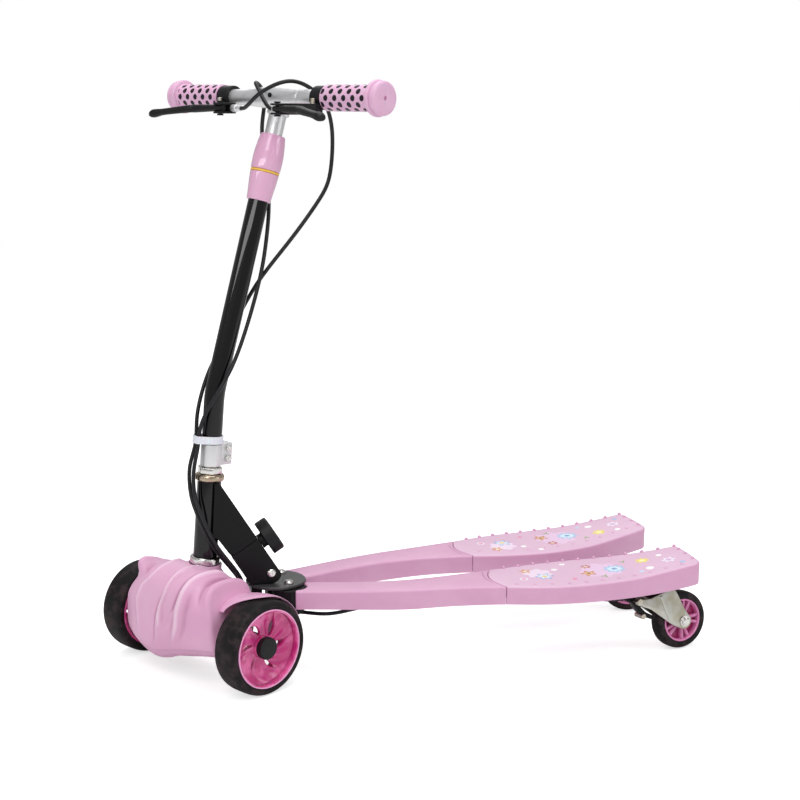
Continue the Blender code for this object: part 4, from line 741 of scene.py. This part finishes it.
def tray(front, back, closed):
    """An outer and an inner skin, joined round their lower rims; an open end is joined too, a closed one is
    rounded by a quarter circle of 13 mm, or 10 mm inside."""
    angles = np.linspace(0, np.pi / 2, 4)
    seam = [(SEAM_EDGE * (1 - np.cos(a)), SEAM_EDGE * (1 - np.sin(a))) for a in angles]
    lead = [(0, off, more, 0) for off, more in seam]
    if closed:
        turn = np.linspace(0, np.pi / 2, 9)
        over = np.maximum(0.013 * np.sin(turn) - 0.009, 0)
        tail = [(1, 0.013 * (np.sin(a) - 1), 0.004 - np.sqrt(0.004**2 - o**2), 0.013 * (1 - np.cos(a)))
                for a, o in zip(turn, over)]
        inner_tail = [(1, 0.010 * (np.sin(a) - 1) - WALL, 0, 0.010 * (1 - np.cos(a))) for a in turn]
    else:
        tail = [(1, -off, more, 0) for off, more in seam[::-1]]
        inner_tail = [(1, -off, 0, 0) for off, more in seam[::-1]]
    middle = [(way, 0, 0, 0) for way in np.linspace(0.02, 0.94 if closed else 0.98, 34)]
    outside = deck_skin(front, back, lead + middle + tail, 0.0)
    inside = deck_skin(front, back, [(0, off, 0, 0) for off, more in seam] + middle + inner_tail, WALL)
    patches = [outside, inside[::-1], np.stack([outside[:, 0], inside[:, 0]]),
               np.stack([outside[:, -1], inside[:, -1]]), np.stack([outside[0], inside[0]])]
    if closed:
        return patches + [outside[-1], inside[-1], np.stack([outside[-1, [0, -1]], inside[-1, [0, -1]]])]
    return patches + [np.stack([outside[-1], inside[-1]])]


BARREL, BOARD_END, BOARD_START, SEAM_HALF = 0.0230, 0.5350, 0.2683, 0.0004
near_pivot = 0.0254 * (1 - SHARE) - 0.0172 * SHARE
round_barrel = np.sqrt(np.maximum(BARREL**2 - near_pivot**2, 0.005**2))
seam_line = BOARD_START - 0.0110 * 4 * SHARE * (1 - SHARE)
arm_tray = tray(round_barrel, seam_line - SEAM_HALF, False)
board_tray = tray(seam_line + SEAM_HALF, BOARD_END + 0 * SHARE, True)
TALL_STUD = lathe(rounded([(0, -0.6), (2.7, -0.6), (2.4, 0.8), (1.4, 2.4), (0, 2.5)], 0.6), 14)[0]
STUD = lathe(rounded([(0, -0.6), (2.7, -0.6), (2.6, 0.2), (1.5, 1.3), (0, 1.4)], 0.5), 14)[0]


def studs(dome, spots):
    """The small dome on the deck's top at each (back, across)."""
    return [dome + (-back, across, deck_line(back, TOP) + CROWN * 0.4) for back, across in spots]


ARC_BACK, ARC_ACROSS, LINE_HALF = -0.3300, 0.0340, 0.0011


def ring_line(x, y, radius):
    """1 on a circle about a point of the foot board, fading to 0 at LINE_HALF either side."""
    off = ((x - ARC_BACK)**2 + (y - ARC_ACROSS)**2).math("SQRT") - radius
    return 1 - off.finish.between(0.0, LINE_HALF, off.math("ABSOLUTE"))


def moulded(finish, tint, height, deep):
    """Pink moulding: a fine grain, rubbed patches that shine less, and what height presses into it."""
    rubbed = finish.between(0.52, 0.72, finish.spots(22, 5, 0.7))
    finish.feed(
        Base_Color=tint,
        Roughness=0.3 + 0.1 * finish.spots(60, 4) + 0.1 * rubbed,
        Normal=finish.bumps(finish.spots(1300, 3, 0.6) * 0.05 + height, deep, 0.8))


def deck_cloud(finish):
    """The deck's pink, with a faint cloud in it."""
    return finish.mix(finish.between(0.3, 0.7, finish.spots(16, 4)), "D6A0C2", "DBA9C8")


arm_pink = Finish("deck_pink", Specular_IOR_Level=0.5)
x, y = arm_pink.own(0, 1)
# two arcs are pressed in as grooves by the bump, and painted darker as the shade inside them
grooves_and_their_painted_shade = ring_line(x, y, 0.0780) + ring_line(x, y, 0.0710)
pressed = grooves_and_their_painted_shade * (arm_pink.between(0.0, 0.012, y) * (1 - arm_pink.between(0.052, 0.062, y)))
moulded(arm_pink, arm_pink.mix(pressed * 0.35, deck_cloud(arm_pink), "B0609C"), 1 - pressed, 0.0008)

board_pink = Finish("deck_print", Specular_IOR_Level=0.5)
x, y = board_pink.own(0, 1)
# faces that look up are painted paler, a painted highlight from the light above; the print goes on them only
normal = board_pink.node("NewGeometry", out=1)
upward = board_pink.between(0.5, 0.9, board_pink.node("SeparateXYZ", {}, {0: normal}, out=2))
print_over_painted_top_light = board_pink.mix(upward * 0.55, deck_cloud(board_pink), "E4C8DC")


def blossom(under, colour, back, across, size, petals=0, depth=0.0, turned=0.0):
    """Paints colour where the distance from the centre is under size (1 - depth + depth cos(petals angle));
    no petals gives a plain dot. The centre and the size are in millimetres."""
    dx, dy = x + back / 1000, y - across / 1000
    limit = size / 1000
    if petals:
        wave = (dy.math("ARCTAN2", dx) * petals + turned).math("COSINE")
        limit = (wave * depth + (1 - depth)) * limit
    cover = 1 - board_pink.between(-0.0004, 0.0004, (dx**2 + dy**2).math("SQRT") - limit)
    return board_pink.mix(cover * upward * 0.92, under, colour)


for back, across, layers in (  # each layer is its colour and size, then petals, their depth and turn
        (410, 40, [("E9C9E6", 30, 8, 0.10)]), (325, 30, [("F1DDF0", 20, 7, 0.12, 0.4)]),
        (330, 45, [("7FA9DA", 13, 6, 0.26, 0.3), ("EAF3FB", 9.8, 6, 0.26, 0.3), ("F0C24E", 3.4)]),
        (312, 18, [("D9925A", 8.5, 5, 0.24, 1.2), ("F7EFD8", 2.8)]), (352, 20, [("FFFFFF", 4.2)]),
        (300, 50, [("F3F0FA", 5.5), ("E884A8", 3.2)]),
        (428, 42, [("9FC6E8", 15, 9, 0.13), ("DCEEFA", 10.8, 9, 0.13), ("6E93C4", 4.6, 6, 0.2)]),
        (390, 48, [("C77E4A", 11, 5, 0.26, 0.5), ("F2C890", 6.8, 5, 0.26, 0.5), ("7A4F3E", 2.6)]),
        (396, 20, [("B4574F", 8, 6, 0.24), ("F3D9C8", 3)]), (406, 65, [("86A562", 5.2, 3, 0.4, 0.4)]),
        (448, 20, [("86A562", 4.6, 3, 0.4, 1.4)]), (472, 30, [("F1DD58", 10, 7, 0.18), ("FBF3B4", 4.2)]),
        (470, 62, [("FFFFFF", 5)]), (456, 68, [("BFD9F0", 3.6)]),
        (502, 48, [("F0EEF8", 9.5, 6, 0.22, 0.8), ("D9A7D6", 5.2, 6, 0.22, 0.8)]),
        (498, 24, [("FFFFFF", 4)]), (514, 66, [("9FBFE6", 3.6)]), (365, 64, [("E884A8", 3.4)]),
        (370, 0, [("FFFFFF", 4)])):
    for colour, *shape in layers:
        print_over_painted_top_light = blossom(print_over_painted_top_light, colour, back, across, *shape)
moulded(board_pink, print_over_painted_top_light, 0.0, 0.0004)

deck_places = {
    name: stand((0.1690, 0.0339 + side * 0.0228, 0.0), UP, (0.99919, -side * 0.04013, 0))
    for name, side in SIDES}
for name, side in SIDES:
    place = deck_places[name] @ np.diag([1.0, side, 1.0, 1.0])
    back = np.linspace(0.2890, 0.5290, 12)
    rim = list(zip(back, deck_line(back, INNER if side > 0 else OUTER) + side * 0.0030))
    back = np.linspace(0.2850, 0.5100, 11)
    row = list(zip(back, deck_line(back, OUTER) - 0.0130 if side > 0 else deck_line(back, INNER) + 0.0210))
    end = [(0.5290, 0.020), (0.5290, 0.0410), (0.5290, 0.0640)]
    skin_of(f"deck_arm_{name}", arm_tray, f"deck_{name}", arm_pink, place)
    skin_of(f"deck_platform_{name}", board_tray + studs(TALL_STUD, rim + end) + studs(STUD, row),
            f"deck_{name}", board_pink, place)

# Rear casters
# A folded zinc-plated fork, with a rib pressed into each cheek, swivels on a tilted pin under each deck and
# carries a small wheel; a black brake arm hangs in its front and is pulled against the tyre by the cable.


def upright(patches):
    """Stands pieces up: what was across goes up, and what was up goes across."""
    return [patch[..., [0, 2, 1]] for patch in patches]


FORK_OUTER, FORK_THICK, TRAIL = 14.7, 2.4, 27
pivot = joints["caster_left_swivel"]
from_pivot = np.subtract(joints["rear_wheel_left_spin"]["pos_m"], pivot["pos_m"])
DROP = -1000 * float(from_pivot @ np.asarray(pivot["axis"], float))
cheek = rounded([
    (18, -13.6), (40, -7), (41.5, -12), (20.5, -28), (-6, -61.2), (-19, -DROP - 8),
    *ring_of(np.linspace(-60, -180, 7), 11) + (-TRAIL, -DROP), (-31, -48), (-25.5, -24), (-21, -13.6)],
    [1, 2.5, 2.5, 4, 6, 3, *[1] * 7, 4, 4, 1])
crown = rounded([(18, -FORK_OUTER), (18, FORK_OUTER), (-21, FORK_OUTER), (-21, -FORK_OUTER)], 1.2)
rib = rounded([(3.2, -16.3), (-1.2, -15.7), (-6.3, -51.7), (-1.9, -52.3)], 1.8)
fork_parts = []
for outline, low, high, edge in (
        (rib, FORK_OUTER - 1.2, FORK_OUTER + 1.1, 1.1), (cheek, FORK_OUTER - FORK_THICK, FORK_OUTER, 0.6)):
    fork_parts += upright(plate(outline, low, high, edge) + plate(outline, -high, -low, edge))
fork_parts += plate(crown, -16, -13.7, 0.8) + lathe(rounded(tube(5, 0, -15, 5), 0.4), 32)
axle_profile = rounded([
    (0, -19.2), (5.8, -19.2), (6.4, -18.4), (6.4, -15), (4, -15), (4, 15), (7.8, 15), (7.8, 16), (5.6, 16),
    (5.6, 18.6), (3.4, 19.3), (0, 19.3)], 0.5)
warm_zinc = Finish("warm_zinc", Metallic=1.0)
flakes = warm_zinc.node("TexVoronoi", {}, {"Vector": warm_zinc.node("TexCoord", out=3), "Scale": 420.0})
warm_zinc.feed(
    Base_Color=warm_zinc.mix(warm_zinc.between(0.35, 0.65, warm_zinc.spots(38, 2)), "AEA996", "C4C3BC"),
    Roughness=0.22 + 0.14 * warm_zinc.spots(150, 4) + 0.06 * flakes,
    Normal=warm_zinc.bumps(warm_zinc.spots(130, 3) + flakes * 0.2, 0.0002, 0.35))

rear_tyre = rounded([
    (29.2, -10), (33, -10.9), (36.8, -10), (38.6, -6.6), (39, 0), (38.6, 6.6), (36.8, 10), (33, 10.9),
    (29.2, 10)], 1.6)
rear_rim = rounded([
    (26.2, -10), (28.9, -10), (28.9, 10), (27.4, 10.4), (26.2, 9), (26.2, 2), (26.2, -2)], 0.6)
rear_boss = rounded([(4.6, -12), (9.5, -12), (9.8, 0), (9.5, 12), (4.6, 12)], 0.9)
rear_web = rounded(tube(26.8, 9, -2.2, 2.2), 0.3)
# the thin web between the spokes is the hub's plastic, coloured deep magenta as painted shade in its recess
painted_shade_pink = cloudy("painted_shade_magenta", ("8E1656", "B0306F"), (90,), (0.0002, 0.4, 300), Roughness=0.3)
rim_pink = cloudy("rim_magenta", ("D873AE", "E796C4"), (120,), (0.0001, 0.3, 800), (0.3, 0.1, 400),
                  Coat_Weight=0.3, Coat_Roughness=0.1)
SPOKES, SPOKE_LEAN = 5, 0.19
spoke = rounded([(8.8, -1.8), (26.8, -2.1), (26.8, 2.1), (8.8, 1.8)], 0.3)
rear_hub = lathe(rear_rim, 80) + lathe(rear_boss, 48)
for k in range(SPOKES):
    for lean_by in (-SPOKE_LEAN, SPOKE_LEAN):
        angle = np.radians(90 + 360 / SPOKES * k) + lean_by
        turned_to = np.array([[np.cos(angle), np.sin(angle)], [-np.sin(angle), np.cos(angle)]])
        for low, high in ((1.8, 7.8), (-7.8, -1.8)):
            rear_hub += plate(spoke @ turned_to, low, high, 0.6)

brake_outline = rounded([
    (43, 0.5), (47.8, 0.5), (47.8, -7.5), (40, -14), (34.5, -28), (25.5, -40), (16.5, -46.5), (14, -41.5),
    (23.5, -33), (29, -24), (32, -10)], 2)
brake_arm = upright(plate(brake_outline - (36, -10.5), -6, 6, 1.2))
brake_pin = upright(lathe(rounded([
    (0, -17.7), (4.4, -17.7), (4.8, -17), (4.8, -15), (2.8, -15), (2.8, 15), (4.8, 15), (4.8, 17),
    (4.4, 17.7), (0, 17.7)], 0.3), 32))
brake_screw = upright(lathe(rounded(tube(3.6, 0, -8.5, 8.5), 0.6), 28))
brake_screw = [patch + (-0.0060, 0, -0.0255) for patch in brake_screw]
casters = {}
for name, side in SIDES:
    swivel, spin, pull = (joints[f"{kind}_{name}_{way}"] for kind, way in (
        ("caster", "swivel"), ("rear_wheel", "spin"), ("brake", "pull")))
    upwards = np.asarray(swivel["axis"], float) * np.sign(swivel["axis"][2])
    caster = stand(swivel["pos_m"], upwards, np.cross(spin["axis"], upwards))
    hub_place = stand(spin["pos_m"], spin["axis"], caster[:3, 0])
    brake_place = stand(pull["pos_m"], caster[:3, 2], caster[:3, 0])
    casters[name] = caster
    skin_of(f"fork_{name}", fork_parts, f"caster_{name}", warm_zinc, caster)
    skin_of(f"rear_axle_{name}", lathe(axle_profile, 32), f"caster_{name}", bright, hub_place)
    skin_of(f"tyre_rear_{name}", lathe(rear_tyre), f"rear_wheel_{name}", rubber, hub_place)
    skin_of(f"hub_rear_{name}", rear_hub, f"rear_wheel_{name}", rim_pink, hub_place)
    solid(f"hub_rear_{name}_web", lathe(rear_web, 64), f"rear_wheel_{name}", painted_shade_pink, hub_place)
    skin_of(f"brake_arm_{name}", brake_arm, f"brake_{name}", black_steel, brake_place)
    solid(f"brake_pin_{name}", brake_pin, f"brake_{name}", zinc, brake_place)
    solid(f"brake_screw_{name}", brake_screw, f"brake_{name}", zinc, brake_place)

# Height collar and post
# Two pink moulded halves grip the stem's top, with a yellow ring between, and the polished post slides in
# them. A quarter turn of the upper half clamps it.

yellow = cloudy("yellow_ring", ("E9B23A", "F3C75A"), (200,), (0.0001, 0.3, 900), (0.35, 0.1, 500))
glossy_pink = cloudy("glossy_pink", ("DAA0C3", "E0ACCB"), (14,), (0.0001, 0.1, 1100), (0.30, 0.12, 45, 4),
                     (0.3, 0.7), Coat_Weight=0.9, Coat_Roughness=0.05, Specular_IOR_Level=0.45)
BORE, POST = 1000 * STEM_TUBE + 0.3, 11.1
collar_low = rounded([
    (BORE, 246.7), (14.6, 246.7), (15.1, 247.7), (15.8, 256.7), (17.2, 269.7), (18.1, 281.4), (17.7, 281.9),
    (BORE, 281.9)], 1.2)
collar_high = rounded([
    (POST + 0.6, 285.3), (18, 285.3), (18.5, 286.5), (19, 299), (18.6, 308), (17.2, 320), (15.8, 329),
    (15, 330.5), (POST + 0.6, 330.5)], 3)
collar_ring = rounded(tube(18.2, BORE, 282.2, 285), 0.6)
skin_of("collar_lower", lathe(collar_low, 72), "steering", glossy_pink, upper_stem)
skin_of("collar_ring", lathe(collar_ring, 72), "steering", yellow, upper_stem)
skin_of("collar_upper", lathe(collar_high, 72), "collar", glossy_pink, upper_stem)
skin_of("inner_stem", lathe(rounded(tube(POST, 9.6, 90, 364), 0.3), 64), "handlebar", silver, upper_stem)

# Handlebar
# A polished cast T on the post, with a soft pink grip printed with black dots at each end, and a black
# bracket clamped inside each grip that carries a moulded brake lever and a knurled cable adjuster.

bar = stand((0.17074, -0.00133, 0.72373), UP, forward)
across_bar = stand(bar[:3, 3], bar[:3, 1], bar[:3, 0])
socket_profile = rounded([
    (11.2, 356), (13.2, 356), (14, 356.8), (13.8, 370), (12.8, 380.5), (9, 383), (0, 383.4), (0, 364.5),
    (11.2, 364.2)], 1.6)
boss_profile = rounded([
    (0, -52), (10.3, -50), (11.2, -40), (13.6, -15), (14.2, 0), (13.6, 15), (11.2, 40), (10.3, 50),
    (0, 52)], 3)
skin_of("t_bar", moved(lathe(rounded(tube(10, 0, -187, 187), 0.8), 64), across_bar)
        + moved(lathe(socket_profile, 64), upper_stem) + moved(lathe(boss_profile, 64), across_bar),
        "handlebar", silver)
# a black disc on the front of the T stands for a small hole; its black is painted shade
solid("t_bar_hole_painted_shade", lathe(rounded(tube(3, 0, 0, 1.2), 0.2), 24), "handlebar", black_plastic,
      bar @ stand((0.0136, 0.0060, 0.0030), (1.0, 0.0, 0.12), UP))

GRIP = rounded([
    (10.3, 95.5), (15.8, 95.5), (15.8, 174), (16.2, 175), (19.6, 175.2), (21.7, 176.6), (21.7, 181.2),
    (18.6, 182.2), (19, 183.2), (20.5, 184), (20.3, 189), (18, 191), (2.7, 191), (2.4, 188), (0, 188),
    (0, 187.3), (10.3, 187.3)],
    [0.4, 1, 1, 0.8, 0.8, 1, 1.4, 0.6, 0.4, 1, 1.6, 1.4, 0.3, 0.2, 0, 0, 0.3])
DOT_STEP, DOT_WIDTH, DOTS_ROUND = 0.0152, 0.0162, 6
soft_grip = Finish("soft_grip", Subsurface_Weight=0.1, Subsurface_Scale=0.003, Specular_IOR_Level=0.35)
u, v, w = soft_grip.own(0, 1, 2)
round_grip = v.math("ARCTAN2", u) * (DOTS_ROUND / (2 * np.pi)) + DOTS_ROUND
along_grip = w * (1 / DOT_STEP)


def dots(offset):
    """1 inside dots of 3.6 mm radius, on a grid of cells DOT_STEP long and a sixth of the girth wide."""
    along, beside = ((way + offset).math("FRACT") - 0.5 for way in (along_grip, round_grip))
    away = ((along * DOT_STEP)**2 + (beside * DOT_WIDTH)**2).math("SQRT")
    return 1 - soft_grip.between(0.0034, 0.0038, away)


on_barrel = (soft_grip.between(0.0970, 0.0972, w) * (1 - soft_grip.between(0.1728, 0.1730, w))
             * soft_grip.between(0.0150, 0.0151, (u**2 + v**2).math("SQRT")))
dotted = (dots(0.0) + dots(0.5)) * on_barrel
soft_grip.feed(
    Base_Color=soft_grip.mix(dotted, soft_grip.mix(soft_grip.spots(60, 4), "DCAECD", "E4BAD6"), "15101A"),
    Roughness=0.42 + 0.12 * soft_grip.spots(90, 4),
    Normal=soft_grip.bumps(dotted * 0.5 + soft_grip.spots(1500) * 0.12, 0.0006, 0.5))

bracket = rounded([(8, 78), (8, 94.5), (20, 94.5), (34.8, 68), (50, 60), (50, 46), (24, 46), (18, 60)], 1.6)
bracket_web = rounded([(8, 78), (8, 94.5), (20, 94.5), (33.8, 68.5), (33.8, 46), (24, 46), (18, 60)], 1.2)
jaws = (plate(bracket, -20.2, -17.7, 0.8) + plate(bracket, -9.3, -6.8, 0.8)
        + plate(bracket_web, -18, -9, 0.2))
clamp_ring = rounded(tube(14.5, 10.2, 76.5, 96), 1.2)
LEVER = through([  # ahead, out, up, width, height
    (44, 48, -13.5, 9, 7), (43.6, 55, -13.5, 12, 7.5), (44, 64, -13.5, 12, 8.5), (47.5, 95, -14.5, 12, 10),
    (53, 104, -15, 11, 9.6), (65, 138, -19, 11.2, 8.4), (68, 148, -20.5, 12.4, 10),
    (69.4, 154, -21.4, 12.6, 10.4), (70, 159, -22.1, 8, 6.6)], 8) / 1000
along = np.gradient(LEVER[:, :2], axis=0)
along /= np.linalg.norm(along, axis=1, keepdims=True)
turn = np.linspace(0, 2 * np.pi, 25)
wide, tall = (
    np.sign(wave) * np.abs(wave)**0.75 * LEVER[:, [which]] / 2
    for wave, which in ((np.cos(turn), 3), (np.sin(turn), 4)))
lever = np.stack([LEVER[:, :1] + wide * along[:, 1:], LEVER[:, 1:2] - wide * along[:, :1],
                  LEVER[:, 2:3] + tall], -1)
lever_pin = lathe(rounded([
    (0, -9), (4, -9), (4, -7), (2.5, -7), (2.5, 7), (4, 7), (4, 9), (0, 9)], 0.3), 24)
lever_pin = [patch + (0.0440, 0.0530, -0.0135) for patch in lever_pin]
lever_body = [lever, lever[0, :-1], lever[-1, :-1]] + lever_pin
adjuster = lathe(rounded([
    (0, 0.4), (4.2, 0.4), (4.6, 1.2), (4.6, 7.8), (3.8, 8.8), (3.4, 15.8), (0, 16)], 0.4))[0]
knurl = np.sign(np.sin(24 * np.linspace(0, 2 * np.pi, 97)))
swell = 1 + 0.05 * knurl * (np.hypot(adjuster[..., 0], adjuster[..., 1]) > 0.0044)
adjuster = adjuster * np.stack([swell, swell, 1 + 0 * swell], -1)
for name, side in SIDES:
    flip = bar @ np.diag([1.0, side, 1.0, 1.0])
    out_along = stand(bar[:3, 3], side * bar[:3, 1], bar[:3, 0])
    skin_of(f"grip_{name}", lathe(GRIP), "handlebar", soft_grip, out_along)
    skin_of(f"lever_bracket_{name}", moved(jaws, flip) + moved(lathe(clamp_ring, 64), out_along),
            "handlebar", black_plastic)
    solid(f"clamp_screw_{name}", lathe(rounded(tube(3.2, 0, 0, 20), 0.6), 24), "handlebar", zinc,
          bar @ stand((0.0165, side * 0.0860, -0.0205), UP))
    skin_of(f"brake_lever_{name}", lever_body, f"lever_{name}", black_plastic, flip)
    skin_of(f"adjuster_{name}", [adjuster], "handlebar", silver,
            bar @ stand((0.0300, side * 0.0460, -0.0135), (0, -side, 0)))

# Brake cables
# Two black hoses run from the levers over the bar, down the stem, under the decks and to the rear brakes.
# Each is swept along one smooth curve and cut into five lengths, so that each bends over one joint only.

hose = cloudy("cable_hose", ("131316", "1E1E22"), (200,), (0.0001, 0.4, 1500), (0.32, 0.15, 300),
              Specular_IOR_Level=0.35)
white_nylon = cloudy("white_nylon", ("DDE0EA", "EDEFF5"), (200,), (0.0001, 0.3, 900), Roughness=0.4,
                     Subsurface_Weight=0.2, Subsurface_Scale=0.002)
dress(white_nylon, "cable_tie")
# where each hose runs, in millimetres, against the bar, the stem, the steering column and the base
ROUTES = {
    "left": (
        ((30, 29.3, -13.5), (30, 23, -13.4), (26, 8, -3), (21, -6, 9), (15.7, -19.4, 18.3), (2, -29.5, 17),
         (-13.5, -35, 7), (-15, -36, -10)),
        ((-4, -29, 334), (-16, -18, 295), (-20, 0, 246), (-22, 6, 202), (-21, 12, 164), (-17, 14, 106),
         (-5, 19, 47), (6, 17.5, 13)),
        ((17.5, 4, 276), (19.5, -1.6, 254), (19.5, -2, 243), (20.5, -2.4, 228), (22.8, -4, 210),
         (23.2, -4, 192), (22.6, 0, 171)),
        ((113.5, 18.5, 219), (107, 25, 201), (96.5, 25.5, 175), (79.5, 20.5, 150), (64, 12, 128.5),
         (56.4, 7, 113), (54.6, 5.2, 98), (54.4, 5, 84), (51.7, 5.2, 73.2), (44, 5.6, 69.4), (30, 6.5, 69),
         (10, 7.5, 69.4), (-8, 11, 70.4), (-23, 19.5, 70.8))),
    "right": (
        ((30, -29.3, -13.5), (30.5, -22, -13.3), (36, -5, -6), (35, 10, 5), (26, 30, 16), (14, 43, 20.5),
         (1, 52, 17), (-14, 57, 8), (-32, 57.5, -6), (-46, 54, -32), (-53, 48, -62)),
        ((-68, 46, 294), (-60, 44, 267), (-44, 31, 216), (-29, 10, 165), (-23.5, -3, 131), (-17, -12, 90),
         (-9, -19, 55), (4, -17.5, 21)),
        ((14.5, -14, 279), (17, -10.6, 257), (17.5, -9.8, 243), (18.5, -10.5, 230), (20.5, -14.5, 212),
         (21.2, -15.2, 196), (22, -9, 171)),
        ((116.5, 12.5, 214), (109.5, 19.3, 195), (100, 19.8, 171), (83.5, 14, 149.5), (66.5, 5, 126.5),
         (57.4, 0.4, 112), (54.8, -1.4, 98), (54.4, -4, 84), (51.7, -5.2, 73.2), (44, -5.6, 69.4),
         (30, -6.5, 69), (10, -7.5, 69.4), (-8, -11, 70.4), (-23, -19.5, 70.8)))}
# the left hose's way under its deck and to its caster; the right one's is its mirror
DECK_ROUTE = ((-45, 9, 70.8), (-66, 15.5, 74.6), (-88, 23, 81.5), (-112, 28.5, 86), (-150, 34.2, 88.2),
              (-200, 37.5, 89), (-260, 38, 89), (-320, 38.6, 89), (-372, 40, 88.2))
CASTER_ROUTE = ((78, -9, 4.5), (64, -1.5, 1.5), (50.4, 0, -3.6))
HOSE, STEPS = 0.0025, 6
base_place = stand((0.1690, 0.0339, 0.0), UP)
for name, side in SIDES:
    mirror = np.diag([1.0, side, 1.0, 1.0])
    stretches = [*zip((bar, upper_stem, column, base_place), ROUTES[name]),
                 (deck_places[name] @ mirror, DECK_ROUTE), (casters[name] @ mirror, CASTER_ROUTE)]
    stops = [moved([np.array(points) / 1000], place)[0] for place, points in stretches]
    starts = np.cumsum([0] + [len(points) for points in stops])
    path = through(np.vstack(stops), STEPS)
    for _ in range(14):
        path[1:-1] = (path[:-2] + 2 * path[1:-1] + path[2:]) / 4
    bounds = [0, starts[2] + 2, starts[3], starts[3] + 7, starts[4] + 2, starts[6] - 1]
    lengths = (
        ("bar", "handlebar", "steering", stops[1][0], stops[1][-1]),
        ("neck", "steering", "head", stops[2][3], stops[2][6]),
        ("head", "head", "base", stops[3][1], stops[3][6]),
        ("base", "base", f"deck_{name}", stops[3][10], stops[4][1]),
        ("tail", f"deck_{name}", f"caster_{name}", stops[4][8], stops[5][1]))
    for (part, first, second, start, end), low, high in zip(lengths, bounds[:-1], bounds[1:]):
        run = solid(f"brake_cable_{name}_{part}", sweep(path[STEPS * low:STEPS * high + 1], HOSE, 16), None,
                    hose, stands_for=[f"brake_cable_{name}"])
        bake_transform(run)

# Studio
# A pale floor and a white backdrop, four soft lamps and two upright strips, and the camera where the
# photograph was taken from.

floor_mesh = bpy.data.meshes.new("floor")
floor_mesh.from_pydata([(-6, -6, 0), (6, -6, 0), (6, 6, 0), (-6, 6, 0)], [], [(0, 1, 2, 3)])
floor = bpy.data.objects.new("floor", floor_mesh)
bpy.context.collection.objects.link(floor)
GLOW = 0.62
pale = Finish("pale_floor", Roughness=0.9, Emission_Strength=1.0)
pale.feed(Base_Color=pale.mix(pale.spots(3), "F1F1F1", "F5F5F5"),
          Emission_Color=pale.mix(pale.node("LightPath"), (0.0, 0.0, 0.0, 1.0), (GLOW, GLOW, GLOW, 1.0)))
floor_mesh.materials.append(pale.material)

world = bpy.data.worlds.new("studio")
world.use_nodes = True
bpy.context.scene.world = world
tree = world.node_tree
background = tree.nodes["Background"]
background.inputs["Color"].default_value = (1.0, 1.0, 1.0, 1.0)
rays = tree.nodes.new("ShaderNodeLightPath")
direct = tree.nodes.new("ShaderNodeMath")
direct.operation = "MAXIMUM"
tree.links.new(rays.outputs["Is Camera Ray"], direct.inputs[0])
tree.links.new(rays.outputs["Is Transmission Ray"], direct.inputs[1])
strength = tree.nodes.new("ShaderNodeMapRange")
strength.inputs["To Min"].default_value = 0.41
strength.inputs["To Max"].default_value = 1.0
tree.links.new(direct.outputs[0], strength.inputs["Value"])
tree.links.new(strength.outputs["Result"], background.inputs["Strength"])


def lamp(name, at, to, size, watts, tall=None):
    """A soft square or upright lamp at a point, facing another."""
    light = bpy.data.lights.new(name, "AREA")
    light.shape = "RECTANGLE"
    light.size, light.size_y, light.energy = size, tall or size, watts
    made = bpy.data.objects.new(name, light)
    bpy.context.collection.objects.link(made)
    made.matrix_world = Matrix(stand(at, np.subtract(at, to), (0.0, 0.01, 1.0)))


lamp("key", (1.3, 1.9, 2.6), (0.0, 0.0, 0.3), 1.2, 19)
lamp("top", (0.0, 0.1, 2.8), (0.0, 0.0, 0.3), 1.8, 35)
lamp("fill", (-2.4, 1.6, 1.6), (0.0, 0.0, 0.3), 1.4, 11)
lamp("back", (-0.4, -2.4, 2.2), (0.0, 0.0, 0.3), 1.6, 11)
lamp("strip", (1.78, 1.53, 1.35), (0.2, 0.0, 0.5), 0.20, 9, 2.4)
lamp("far strip", (-1.18, 1.70, 1.35), (0.2, 0.0, 0.5), 0.12, 4, 2.4)

LOOK_SIDE, LOOK_DOWN, ROLL = np.radians(16.4), np.radians(10.9), np.radians(0.5)
PHOTO_WIDTH, FOCAL, SENSOR = 800, 1563, 36.0
look = np.array([-np.sin(LOOK_SIDE) * np.cos(LOOK_DOWN), -np.cos(LOOK_SIDE) * np.cos(LOOK_DOWN),
                 -np.sin(LOOK_DOWN)])
level = np.array([-np.cos(LOOK_SIDE), np.sin(LOOK_SIDE), 0.0])
right = np.cos(ROLL) * level + np.sin(ROLL) * np.cross(level, look)
camera_data = bpy.data.cameras.new("camera")
camera_data.sensor_width, camera_data.lens = SENSOR, FOCAL / PHOTO_WIDTH * SENSOR
camera = bpy.data.objects.new("camera", camera_data)
bpy.context.collection.objects.link(camera)
camera.matrix_world = Matrix(stand((0.5768, 1.9397, 0.7232), -look, right))
bpy.context.scene.camera = camera
bpy.context.scene.view_settings.view_transform = "Standard"
